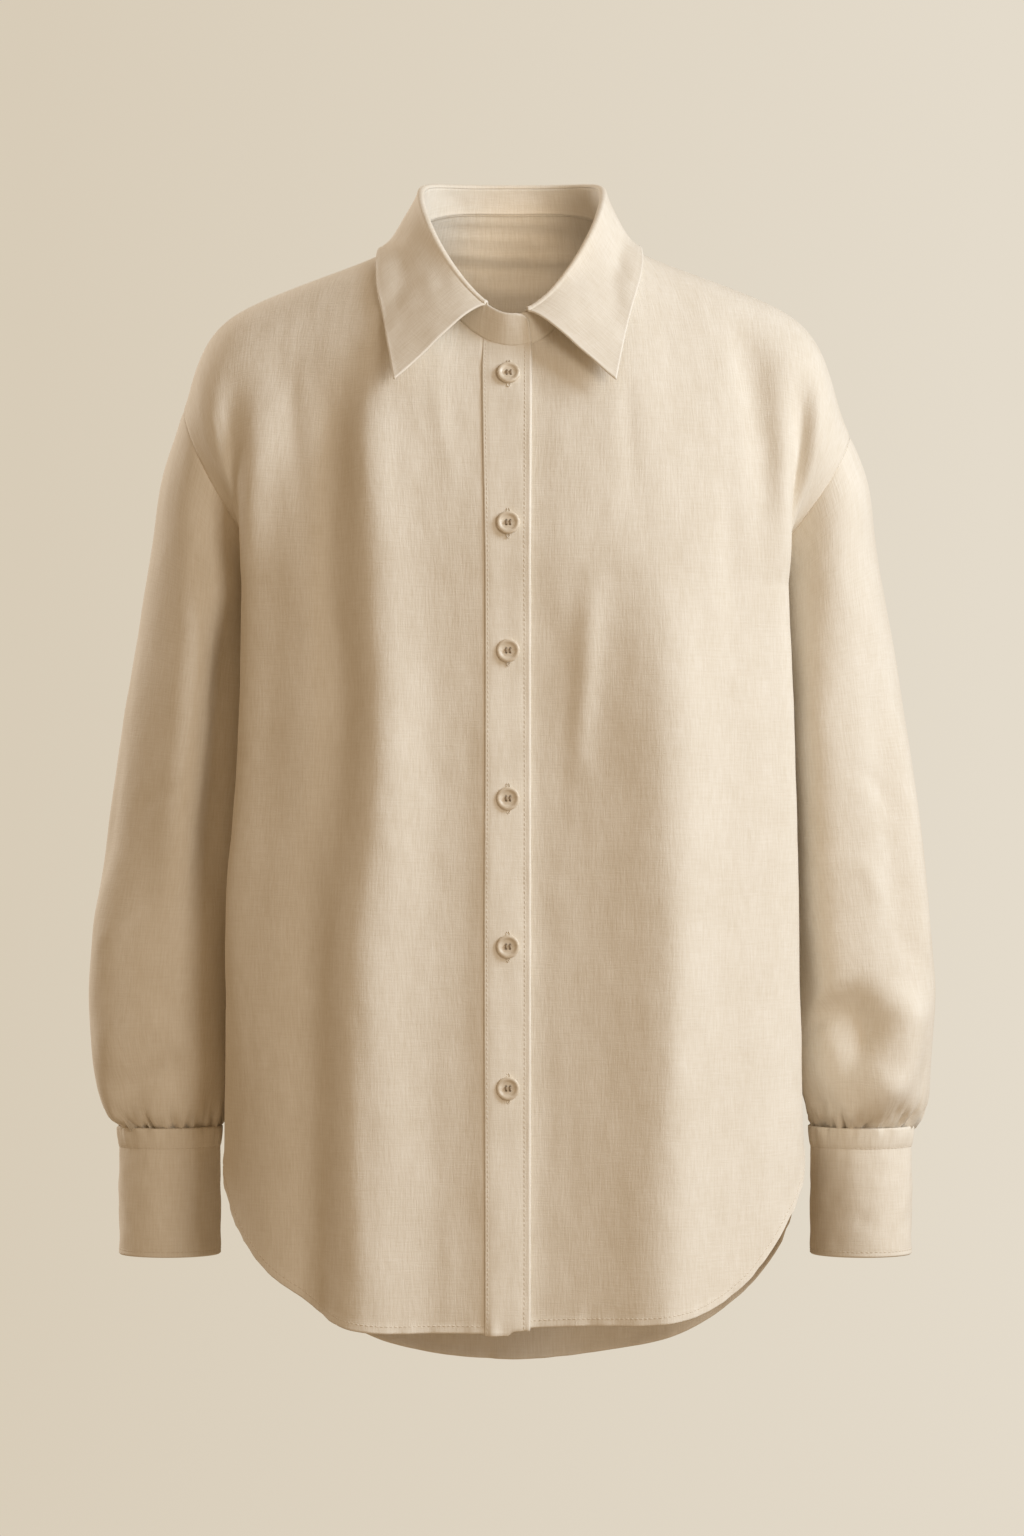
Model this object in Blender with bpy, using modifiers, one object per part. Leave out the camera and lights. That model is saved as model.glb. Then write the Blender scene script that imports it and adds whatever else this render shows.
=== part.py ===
"""An oversized long-sleeved linen shirt, filled out as if worn and left hollow.

Metres, +Z up, +Y towards the back of the shirt, +X to the left arm of whoever wears it.
The origin is the middle of the neck hole at shoulder height, where a wearer carries the shirt.
Every cloth piece is a wall laid out from rings and tables of sizes, with 0.3 mm between pieces.
"""

import math

import bmesh
import bpy
import numpy as np
from mathutils import Matrix

# Walls and seams
CLOTH = 0.0016
FOLDED_CLOTH = 0.0020
SEAM_GAP = 0.0003
LAYER_STEP = 0.0013
MOST_DRAWN_IN = 0.0042
ARMHOLE_SET_BACK = 0.0014

# Colours from the cloth and the buttons in daylight
LINEN_COLOUR = (0.66, 0.57, 0.44, 1.0)
BUTTON_COLOUR = (0.74, 0.65, 0.51, 1.0)

# Torso rings, from the underarm down past the hem. The left side hangs a little wider, and
# each side seam lies further in than the panels' corners, where the arm presses.
TORSO_RINGS = [
    # height, right_width, left_width, front, back, right_seam, left_seam
    (-0.236, 0.2080, 0.2150, 0.121, 0.116, 0.164, 0.166),
    (-0.350, 0.2080, 0.2170, 0.126, 0.115, 0.169, 0.171),
    (-0.480, 0.2155, 0.2180, 0.130, 0.117, 0.182, 0.184),
    (-0.620, 0.2110, 0.2150, 0.133, 0.122, 0.197, 0.199),
    (-0.800, 0.2090, 0.2120, 0.134, 0.126, 0.204, 0.206),
]
RING_SQUARENESS = 2.45
SIDE_SEAM_BACK = 0.013
TUCK_REACH = 0.055
TUCK_START = 0.60
REFERENCE_HEIGHT = -0.420

# Hem heights round each panel: the sides are cut up into tails
HEMS = {
    # arc from the middle, height
    ("front", "right"): [(0.00, -0.7445), (0.06, -0.7442), (0.12, -0.7385), (0.15, -0.7245),
                         (0.18, -0.7045), (0.208, -0.6765), (0.245, -0.6385), (0.285, -0.6220)],
    ("front", "left"): [(0.00, -0.7415), (0.06, -0.7390), (0.115, -0.7350), (0.147, -0.7235),
                        (0.178, -0.7000), (0.206, -0.6690), (0.245, -0.6350), (0.285, -0.6220)],
    ("back", "right"): [(0.00, -0.7905), (0.05, -0.7885), (0.105, -0.7780), (0.163, -0.7480),
                        (0.196, -0.7200), (0.226, -0.6860), (0.258, -0.6480), (0.285, -0.6220)],
    ("back", "left"): [(0.00, -0.7905), (0.05, -0.7885), (0.105, -0.7800), (0.163, -0.7590),
                       (0.196, -0.7310), (0.226, -0.6930), (0.258, -0.6500), (0.285, -0.6220)],
}

# Neck: half loops from centre back to centre front, for the seam and for the collar's roll
NECK_LOOP = [
    # seam_out, seam_back, seam_up, roll_out, roll_back, roll_up
    (0.000, 0.048, 0.0290, 0.000, 0.045, 0.0462),
    (0.036, 0.043, 0.0285, 0.034, 0.040, 0.0458),
    (0.060, 0.021, 0.0210, 0.057, 0.021, 0.0440),
    (0.067, -0.006, 0.006, 0.062, -0.008, 0.033),
    (0.060, -0.036, -0.020, 0.054, -0.038, 0.006),
    (0.036, -0.062, -0.055, 0.032, -0.066, -0.031),
    (0.000, -0.075, -0.075, 0.000, -0.080, -0.0535),
]
CORNER_REACH = 0.040

# Shoulder line in front view, from the neck hole to past the dropped sleeve seam
SHOULDER_LINE = [
    # out, up
    (0.067, 0.006),
    (0.098, -0.0085),
    (0.134, -0.0220),
    (0.171, -0.0360),
    (0.199, -0.051),
    (0.2145, -0.070),
    (0.223, -0.092),
    (0.2295, -0.114),
    (0.238, -0.136),
]
SHOULDER_BACK = 0.006

# The dropped seam sits lower on one shoulder than on the other
SLEEVE_SEAM_HEIGHT = {"right": -0.113, "left": -0.131}
UNDERARM = {"right": (0.164, -0.236), "left": (0.166, -0.236)}
ARMHOLE_HALF_DEPTH = 0.062
ARMHOLE_BOW = 0.006
ARMHOLE_LIFT = 0.72

SLEEVE_RINGS = [
    # outer_out, outer_up, inner_out, inner_up, middle_back, half_depth, bow, lift
    (0.2440, -0.158, 0.1715, -0.2335, 0.014, 0.066, 0.004, 0.85),
    (0.2500, -0.195, 0.1765, -0.2430, 0.015, 0.069, 0.002, 0.95),
    (0.2585, -0.246, 0.1785, -0.2720, 0.017, 0.070, 0.0, 1.0),
    (0.2680, -0.302, 0.1790, -0.3140, 0.019, 0.069, 0.0, 1.0),
    (0.2810, -0.386, 0.1830, -0.3880, 0.023, 0.066, 0.0, 1.0),
    (0.2905, -0.470, 0.1910, -0.4700, 0.027, 0.062, 0.0, 1.0),
    (0.2940, -0.532, 0.1965, -0.5320, 0.029, 0.058, 0.0, 1.0),
    (0.2905, -0.582, 0.1990, -0.5820, 0.030, 0.051, 0.0, 1.0),
    (0.2850, -0.604, 0.2040, -0.6040, 0.030, 0.041, 0.0, 1.0),
    (0.2765, -0.6145, 0.2085, -0.6145, 0.030, 0.0320, 0.0, 1.0),
    (0.2705, -0.6190, 0.2115, -0.6190, 0.030, 0.0285, 0.0, 1.0),
]
ARM_SET_OUT = {"right": 0.0, "left": 0.0035}
CUFF_SET_OUT = {"right": 0.0, "left": 0.0048}
CUFF_TOP = -0.616
CUFF_BOTTOM = -0.705
CUFF_HALF_WIDTH = 0.0350
CUFF_HALF_DEPTH = 0.0340
CUFF_FLARE = 0.0012
CUFF_OUT = 0.2415
CUFF_BACK = 0.030
CUFF_OVERLAP_TURN = math.radians(34)
CUFF_OPENING_ANGLE = math.radians(228)
CUFF_WALL = 0.0020
GATHERS = 9
GATHER_DEPTH = 0.0016
GATHER_LENGTH = 0.055

# Button placket, left and right edges across from the middle
PLACKET_SEAM = -0.0182
PLACKET_EDGE = 0.0115
BUTTON_LINE = -0.0033
BUTTON_HEIGHTS = (-0.0955, -0.1975, -0.2860, -0.3845, -0.4830, -0.5800)
BUTTON_RADIUS = 0.0080
CUFF_BUTTON_RADIUS = 0.0060

# Collar leaf, from centre back to the tip
COLLAR_EDGE = [
    # right_out, left_out, back, up
    (0.0000, 0.0000, 0.078, 0.003),
    (0.0500, 0.0500, 0.069, 0.001),
    (0.0800, 0.0790, 0.038, 0.000),
    (0.0893, 0.0862, 0.000, -0.0035),
    (0.0905, 0.0855, -0.038, -0.0300),
    (0.0868, 0.0785, -0.072, -0.0600),
    (0.0800, 0.0705, -0.104, -0.0990),
]
LEAF_ENDS = {"right": -0.0170, "left": 0.0100}
LEAF_EDGE_BOW = 0.58
LEAF_ROLL = 0.0019
LEAF_CLEARANCE = 0.0030

# Folds: a row for each, in metres on the laid-out cloth. Across is from the middle of the
# panel, positive to the left arm. Depth is a ridge above 0 and a trough below 0.
FRONT_FOLDS = [
    # across_top, height_top, across_low, height_low, bow, width, depth, fade_top, fade_low
    (-0.130, -0.075, -0.116, -0.480, 0.000, 0.021, -0.0085, 0.15, 0.45),
    (-0.134, -0.300, -0.146, -0.800, 0.000, 0.024, -0.0090, 0.45, 0.02),
    (-0.104, -0.085, -0.082, -0.520, 0.000, 0.024, 0.0100, 0.15, 0.45),
    (-0.098, -0.300, -0.110, -0.800, 0.000, 0.026, 0.0110, 0.45, 0.02),
    (-0.049, -0.200, -0.050, -0.800, 0.000, 0.024, -0.0040, 0.30, 0.02),
    (-0.031, -0.215, -0.030, -0.800, 0.000, 0.010, -0.0014, 0.30, 0.02),
    (-0.192, -0.080, -0.205, -0.640, 0.000, 0.018, 0.0085, 0.15, 0.40),
    (-0.216, -0.075, -0.226, -0.235, 0.000, 0.013, 0.0048, 0.30, 0.50),
    (0.020, -0.180, 0.024, -0.800, 0.000, 0.040, -0.0095, 0.25, 0.02),
    (0.056, -0.215, 0.040, -0.400, 0.000, 0.009, 0.0032, 0.30, 0.50),
    (0.106, -0.180, 0.104, -0.800, 0.000, 0.029, 0.0135, 0.25, 0.02),
    (0.176, -0.045, 0.186, -0.215, 0.003, 0.013, -0.0055, 0.35, 0.45),
    (0.196, -0.105, 0.212, -0.560, 0.000, 0.018, 0.0050, 0.25, 0.45),
]
BACK_FOLDS = [
    (-0.120, -0.110, -0.118, -0.820, 0.012, 0.028, -0.0080, 0.35, 0.02),
    (-0.066, -0.140, -0.072, -0.820, -0.006, 0.026, 0.0075, 0.35, 0.02),
    (-0.008, -0.190, 0.004, -0.820, 0.006, 0.024, -0.0060, 0.35, 0.02),
    (0.062, -0.120, 0.058, -0.820, 0.008, 0.027, 0.0070, 0.35, 0.02),
    (0.116, -0.150, 0.122, -0.820, -0.008, 0.026, -0.0080, 0.35, 0.02),
    (-0.172, -0.120, -0.176, -0.820, 0.000, 0.024, 0.0055, 0.35, 0.10),
    (0.172, -0.110, 0.174, -0.820, 0.000, 0.024, 0.0055, 0.35, 0.10),
]
ARM_VALLEY = [
    # the trough where each front and back panel turns from the chest to the arm
    (0.216, -0.075, 0.226, -0.235, 0.000, 0.013, -0.0080, 0.30, 0.50),
]
# Sleeve folds: across is the turn round the arm from its outer line, through the front
SLEEVE_FOLDS = {
    "right": [
        # turn_top, along_top, turn_low, along_low, bow, width, depth, fade_top, fade_low
        (0.245, 0.050, 0.265, 0.340, 0.000, 0.016, 0.0070, 0.30, 0.40),
        (0.360, 0.040, 0.350, 0.330, 0.000, 0.020, -0.0130, 0.30, 0.35),
        (0.118, 0.240, 0.130, 0.480, 0.000, 0.028, 0.0105, 0.30, 0.35),
        (0.300, 0.370, 0.110, 0.400, 0.012, 0.015, 0.0045, 0.30, 0.35),
        (0.340, 0.395, 0.130, 0.425, 0.000, 0.012, -0.0060, 0.30, 0.30),
        (0.330, 0.425, 0.150, 0.455, -0.008, 0.013, 0.0040, 0.30, 0.30),
        (0.620, 0.080, 0.640, 0.350, 0.000, 0.018, -0.0050, 0.40, 0.40),
        (0.720, 0.090, 0.760, 0.400, 0.000, 0.018, 0.0045, 0.40, 0.40),
        (0.900, 0.390, 0.700, 0.430, 0.010, 0.014, -0.0050, 0.30, 0.30),
    ],
    "left": [
        (0.290, 0.060, 0.350, 0.420, 0.000, 0.018, 0.0100, 0.30, 0.30),
        (0.150, 0.080, 0.170, 0.380, 0.000, 0.018, -0.0055, 0.30, 0.40),
        (0.085, 0.120, 0.090, 0.400, 0.000, 0.014, 0.0035, 0.35, 0.40),
        (0.360, 0.345, 0.240, 0.395, 0.010, 0.018, -0.0115, 0.25, 0.30),
        (0.160, 0.330, 0.200, 0.430, 0.006, 0.018, 0.0080, 0.30, 0.35),
        (0.330, 0.445, 0.150, 0.400, 0.008, 0.014, 0.0070, 0.30, 0.30),
        (0.640, 0.060, 0.620, 0.330, 0.000, 0.018, -0.0050, 0.40, 0.40),
        (0.760, 0.100, 0.740, 0.400, 0.000, 0.018, 0.0045, 0.40, 0.40),
        (0.880, 0.380, 0.680, 0.420, 0.008, 0.014, -0.0050, 0.30, 0.30),
    ],
}

# Grid counts
SHOULDER_COLUMNS = 8
NECK_COLUMNS = 7
TORSO_ROWS = 13
ARMHOLE_ROWS = 12
SLEEVE_COLUMNS = 2 * ARMHOLE_ROWS
SLEEVE_ROWS = 20
PLACKET_COLUMNS = 4
STAND_ROWS = 2
LEAF_COLUMNS = 38
LEAF_CREST_ROWS = 3
LEAF_FALL_ROWS = 6
CUFF_COLUMNS = 28
CUFF_ROWS = 3
BUTTON_STEPS = 16
CELL_STEPS = 16
DENSE = 81

SIDES = {"right": -1.0, "left": 1.0}


def ease(x):
    """Smooth rise from 0 to 1."""
    x = np.clip(x, 0.0, 1.0)
    return x * x * (3.0 - 2.0 * x)


def spline(knots, rows, at):
    """Natural cubic spline through the rows of a table, read at the places in at."""
    knots = np.asarray(knots, float)
    rows = np.asarray(rows, float)
    if rows.ndim == 1:
        return spline(knots, rows[:, None], at)[..., 0]
    step = np.diff(knots)
    slope = np.diff(rows, axis=0) / step[:, None]
    count = len(knots)
    system = np.eye(count)
    right = np.zeros_like(rows)
    for k in range(1, count - 1):
        system[k, k - 1 : k + 2] = step[k - 1], 2 * (step[k - 1] + step[k]), step[k]
        right[k] = 6 * (slope[k] - slope[k - 1])
    bend = np.linalg.solve(system, right)
    at = np.asarray(at, float)
    k = np.clip(np.searchsorted(knots, at) - 1, 0, count - 2)
    u = at - knots[k]
    h = step[k]
    u, h = u[..., None], h[..., None]
    curve = bend[k] * (h - u) ** 3 / (6 * h) + bend[k + 1] * u**3 / (6 * h)
    low = (rows[k] / h - bend[k] * h / 6) * (h - u)
    high = (rows[k + 1] / h - bend[k + 1] * h / 6) * u
    return curve + low + high


def along(points):
    """Distance of each point of a polyline from its start, as a share of the whole."""
    lengths = np.linalg.norm(np.diff(points, axis=0), axis=1)
    distance = np.concatenate([[0.0], np.cumsum(lengths)])
    return distance / distance[-1]


def unit(vectors):
    """The vectors at length 1."""
    return vectors / np.maximum(np.linalg.norm(vectors, axis=-1, keepdims=True), 1e-12)


def normals(grid):
    """Unit normals of a grid of points, by differences along its rows and columns."""
    by_row = np.gradient(grid, axis=0)
    by_column = np.gradient(grid, axis=1)
    return unit(np.cross(by_column, by_row))


def fold_height(across, height, folds):
    """Height of all the folds at places on the laid-out cloth."""
    total = np.zeros(np.broadcast(across, height).shape)
    for a0, h0, a1, h1, bow, width, depth, fade_top, fade_low in folds:
        path = np.array([a1 - a0, h1 - h0])
        length = np.hypot(*path)
        path = path / length
        t = ((across - a0) * path[0] + (height - h0) * path[1]) / length
        aside = (across - a0) * path[1] - (height - h0) * path[0]
        inside = np.clip(t, 0.0, 1.0)
        aside = aside + bow * 4 * inside * (1 - inside)
        ends = ease(t / fade_top) * ease((1 - t) / fade_low)
        total = total + depth * np.exp(-((aside / width) ** 2)) * ends
    return total


def torso_sizes(height, side):
    """Half width, front and back depth and side seam of the torso at each height."""
    table = np.array(TORSO_RINGS)[::-1]
    sizes = np.moveaxis(spline(table[:, 0], table[:, 1:], height), -1, 0)
    first = 0 if side == "right" else 1
    return sizes[first], sizes[2], sizes[3], sizes[4 + first]


def torso_point(angle, height, face, side):
    """Point of the torso ring: angle from the middle of the face round to the side seam."""
    half_width, front, back, seam = torso_sizes(height, side)
    power = 2.0 / RING_SQUARENESS
    reach = front + SIDE_SEAM_BACK if face == "front" else back - SIDE_SEAM_BACK
    from_seam = reach * np.cos(angle).clip(0) ** power
    sign = -1.0 if face == "front" else 1.0
    out = half_width * np.sin(angle).clip(0) ** power
    tuck = ease(angle / TUCK_START) * np.exp(-((from_seam / TUCK_REACH) ** 2))
    out = out - (half_width - seam) * tuck
    return np.stack([out, SIDE_SEAM_BACK + sign * from_seam, height], axis=-1)


def torso_angles(face):
    """Even steps along the half ring, as a table from share of the arc to angle, and its arc."""
    angle = np.linspace(0.0, math.pi / 2, DENSE)
    points = torso_point(angle, np.full(DENSE, REFERENCE_HEIGHT), face, "right")
    arc = np.linalg.norm(np.diff(points, axis=0), axis=1).sum()
    return along(points), angle, arc


ARC = {face: torso_angles(face) for face in ("front", "back")}
NECK_SHARE = 0.067 * (math.pi / 2) / ARC["front"][2]


def neck_point(share, which):
    """Point on half the neck's seam or roll: share 0 at centre back, 1 at centre front."""
    table = np.array(NECK_LOOP)
    columns = table[:, :3] if which == "seam" else table[:, 3:]
    mirrored = columns * [-1.0, 1.0, 1.0]
    whole = np.concatenate([mirrored[2:0:-1], columns, mirrored[-2:-4:-1]])
    knots = (np.arange(len(whole)) - 2) / (len(columns) - 1)
    return spline(knots, whole, share)


def shoulder_point(share, side):
    """Point on the shoulder seam, from the neck hole to the dropped sleeve seam."""
    table = np.array(SHOULDER_LINE)
    knots = np.arange(len(table))
    dense = spline(knots, table, np.linspace(0, len(table) - 1, 20 * DENSE))
    dense = dense[dense[:, 1] >= SLEEVE_SEAM_HEIGHT[side]]
    place = along(dense)
    out = np.interp(share, place, dense[:, 0])
    up = np.interp(share, place, dense[:, 1])
    back = -0.006 + (SHOULDER_BACK + 0.006) * share
    return np.stack([out, back, up], axis=-1)


def armhole_row(side):
    """The armhole as the first row of the sleeve's ring table."""
    tip = shoulder_point(np.array([1.0]), side)[0]
    return (tip[0], tip[2], *UNDERARM[side], SIDE_SEAM_BACK, ARMHOLE_HALF_DEPTH,
            ARMHOLE_BOW, ARMHOLE_LIFT)


def ring_point(row, turn):
    """Point of a sleeve ring: turn 0 on the outer line, a quarter at the front.

    The bow swells the front and back outward, and a lift below 1 points the underarm.
    """
    outer_out, outer_up, inner_out, inner_up, middle, depth, bow, lift = np.moveaxis(
        np.asarray(row, float), -1, 0
    )
    angle = 2 * math.pi * turn
    rise = ((1 + np.cos(angle)) / 2).clip(0, 1) ** lift
    out = inner_out + (outer_out - inner_out) * rise + bow * np.sin(angle) ** 2
    up = inner_up + (outer_up - inner_up) * rise
    return np.stack([out, middle - depth * np.sin(angle), up], axis=-1)


def hem_height(share, face, side):
    """Height of the hem along a half panel."""
    table = np.array(HEMS[face, side])
    return spline(table[:, 0] / table[-1, 0], table[:, 1], share)


def top_direction(share, face):
    """Direction in which a column of the half panel crosses its neck or shoulder edge."""
    sign = 1.0 if face == "front" else -1.0
    middle = np.array([0.0, 0.50 * sign, 0.86])
    corner = np.array([-0.60, 0.75 * sign, 0.22])
    seam = np.array([0.0, 1.0 * sign, 0.0])
    to_corner = ease(share / NECK_SHARE)[..., None]
    to_seam = ease((share - NECK_SHARE) / 0.30)[..., None]
    direction = middle + (corner - middle) * to_corner
    return unit(direction + (seam - direction) * to_seam)


def top_edge(share, side, face):
    """The neck edge of a half panel and, beyond the neck's corner, its shoulder seam."""
    turn = 1 - 0.5 * share / NECK_SHARE if face == "front" else 0.5 * share / NECK_SHARE
    neck = neck_point(turn, "seam")
    shoulder = shoulder_point((share - NECK_SHARE) / (1 - NECK_SHARE), side)
    return np.where((share < NECK_SHARE)[:, None], neck, shoulder)


def rounded_top(share, side, face):
    """The top edge with its corner rounded off, which the cloth below it follows."""
    even = np.linspace(0, 1, 2 * DENSE)
    top = top_edge(even, side, face)
    per_step = CORNER_REACH * (len(even) - 1)
    reach = int(3 * per_step)
    before = top[reach:0:-1] * [-1.0, 1.0, 1.0]
    after = 2 * top[-1] - top[-2 : -2 - reach : -1]
    whole = np.concatenate([before, top, after])
    weight = np.exp(-((np.arange(-reach, reach + 1) / per_step) ** 2) / 2)
    weight = weight / weight.sum()
    soft = [np.convolve(whole[:, axis], weight, "valid") for axis in range(3)]
    return np.stack([np.interp(share, even, line) for line in soft], axis=-1)


def half_panel(share, side, face, torso_rows=TORSO_ROWS, armhole_rows=ARMHOLE_ROWS):
    """Grid of half a front or back: rows from the hem up, columns out from the middle."""
    share = np.asarray(share, float)
    angle = np.interp(share, *ARC[face][:2])
    underarm = UNDERARM[side][1]
    hem = hem_height(share, face, side)
    rise = np.linspace(0, 1, torso_rows + 1)[:, None]
    heights = hem[None, :] + (underarm - hem[None, :]) * rise
    lower = torso_point(np.broadcast_to(angle, heights.shape), heights, face, side)

    top = top_edge(share, side, face)
    rounded = rounded_top(share, side, face)
    bottom = lower[-1]
    span = np.linalg.norm(rounded - bottom, axis=1)[:, None]
    leave = np.array([0.0, 0.0, 1.0]) * span * 0.85
    arrive = top_direction(share, face) * span * 0.72
    t = np.linspace(0, 1, armhole_rows + 1)[:, None, None]
    upper = (
        (2 * t**3 - 3 * t**2 + 1) * bottom
        + (t**3 - 2 * t**2 + t) * leave
        + (3 * t**2 - 2 * t**3) * rounded
        + (t**3 - t**2) * arrive
        + (top - rounded) * t**6
    )
    turns = 0.5 * (1 - t[:, 0, 0])
    if face == "back":
        turns = -turns
    edge = ring_point(armhole_row(side), turns)
    pull = (ease((share - 0.50) / 0.50) ** 1.2)[None, :, None]
    edge_now = upper[:, -1:] if share[-1] >= 1 else edge[:, None]
    upper = upper + pull * (edge[:, None] - edge_now)
    return np.concatenate([lower, upper[1:]])


def seam_fade(share, rows, torso_rows):
    """0 on the side, armhole, shoulder and neck seams and 1 away from them."""
    side = ease((1 - np.abs(share)) / 0.14)[None, :]
    top = ease((rows - 1 - np.arange(rows)) / (0.22 * (rows - torso_rows)))[:, None]
    return side * top


def panel(shares, face, torso_rows=TORSO_ROWS, armhole_rows=ARMHOLE_ROWS):
    """Grid of a front or back over signed shares: -1 right side seam, 0 middle, 1 left."""
    shares = np.asarray(shares, float)
    halves = []
    for side, sign in SIDES.items():
        mine = shares <= 0 if sign < 0 else shares > 0
        if not mine.any():
            continue
        out = np.abs(shares[mine])
        # The half is laid out to its armhole edge, so that the edge's pull is known.
        order = np.argsort(out)
        grid = half_panel(np.append(out[order], 1.0), side, face, torso_rows, armhole_rows)
        back = np.empty_like(order)
        back[order] = np.arange(len(order))
        grid = grid[:, :-1][:, back]
        grid[..., 0] *= sign
        halves.append(grid)
    base = np.concatenate(halves, axis=1)
    facing = normals(base)
    outward = -1.0 if face == "front" else 1.0
    if facing[torso_rows // 2, base.shape[1] // 2, 1] * outward < 0:
        facing = -facing
    arc = ARC[face][2]
    folds = FRONT_FOLDS if face == "front" else BACK_FOLDS
    across = shares[None, :] * arc
    height = base[..., 2]
    raised = fold_height(across, height, folds) + fold_height(
        np.abs(across), height, ARM_VALLEY
    )
    raised = raised * seam_fade(shares, len(base), torso_rows)
    return base + facing * raised[..., None], facing


def sew(first, second, half_wall=CLOTH / 2):
    """Draws two edges that share their points back from each other, to leave the seam gap.

    Each edge is given as views of a grid: its points and the next ones into the piece.
    Where the pieces meet at an angle, their edges move back far enough for their walls.
    """
    ways = []
    for edge, inner in (first, second):
        seam = unit(np.gradient(edge, axis=0))
        away = inner - edge
        ways.append(unit(away - (away * seam).sum(axis=-1, keepdims=True) * seam))
    cosine = (ways[0] * ways[1]).sum(axis=-1, keepdims=True).clip(-1, 0.95)
    half_cosine = np.sqrt((1 + cosine) / 2)
    half_sine = np.sqrt((1 - cosine) / 2)
    back = (SEAM_GAP / 2 + half_wall * half_cosine) / half_sine
    back = np.minimum(back, MOST_DRAWN_IN)
    for (edge, _), way in zip((first, second), ways):
        edge += way * back


def material(name, colour, roughness):
    """A plain surface for the parts that share it."""
    made = bpy.data.materials.new(name)
    made.use_nodes = True
    surface = made.node_tree.nodes["Principled BSDF"]
    surface.inputs["Base Color"].default_value = colour
    surface.inputs["Roughness"].default_value = roughness
    surface.inputs["Metallic"].default_value = 0.0
    return made


def add_object(name, mesh, collection, surface):
    """Links a mesh to the shirt's collection as a named object with a material."""
    mesh.materials.append(surface)
    made = bpy.data.objects.new(name, mesh)
    collection.objects.link(made)
    return made


def cloth(name, grid, thickness, collection, surface, closed=False):
    """A cloth wall: a sheet lofted through the grid's rows, thickened both ways."""
    rows, columns = grid.shape[:2]
    shape = bmesh.new()
    points = [[shape.verts.new(p) for p in row] for row in grid]
    across = columns if closed else columns - 1
    for i in range(rows - 1):
        for j in range(across):
            k = (j + 1) % columns
            shape.faces.new((points[i][j], points[i][k], points[i + 1][k], points[i + 1][j]))
    mesh = bpy.data.meshes.new(name)
    shape.to_mesh(mesh)
    shape.free()
    made = add_object(name, mesh, collection, surface)
    wall = made.modifiers.new("wall", "SOLIDIFY")
    wall.thickness = thickness
    wall.offset = 0.0
    return made


def neck_columns():
    """Shares of a half panel's columns along the neck seam."""
    return np.linspace(0.0, NECK_SHARE, NECK_COLUMNS + 1)


def shoulder_columns():
    """Shares of a half panel's columns along the shoulder seam."""
    return np.linspace(NECK_SHARE, 1.0, SHOULDER_COLUMNS + 1)[1:]


def front_shares(start, side):
    """Columns of a front: from its edge near the middle to the neck corner and the shoulder."""
    sign = SIDES[side]
    inner = np.linspace(start * sign, NECK_SHARE, NECK_COLUMNS + 1)
    return np.sort(np.concatenate([inner, shoulder_columns()]) * sign)


def overlap_step(across):
    """How far the left front drops behind the placket."""
    return -LAYER_STEP * (1 - ease((across - PLACKET_EDGE - 0.002) / 0.022))


def front_right_grid():
    """The right front, from its side seam to the placket."""
    shares = front_shares(PLACKET_SEAM / ARC["front"][2], "right")
    grid, _ = panel(shares, "front")
    grid[:, -1, 0] -= SEAM_GAP / 2
    return grid


def front_left_grid():
    """The left front, from its edge under the placket to its side seam."""
    arc = ARC["front"][2]
    shares = front_shares((PLACKET_SEAM + 0.0012) / arc, "left")
    grid, facing = panel(shares, "front")
    grid = grid + facing * overlap_step(shares * arc)[None, :, None]
    return grid


def placket_grid():
    """The button strip along the right front's edge, a step out from the fronts."""
    arc = ARC["front"][2]
    shares = np.linspace(PLACKET_SEAM + SEAM_GAP / 2, PLACKET_EDGE, PLACKET_COLUMNS + 1) / arc
    grid, facing = panel(shares, "front")
    grid = grid + facing * LAYER_STEP
    grid[0, :, 2] -= 0.002
    return grid


def back_grid():
    """The back in one piece from side seam to side seam."""
    out = np.concatenate([neck_columns(), shoulder_columns()])
    grid, _ = panel(np.concatenate([-out[:0:-1], out]), "back")
    return grid


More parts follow.
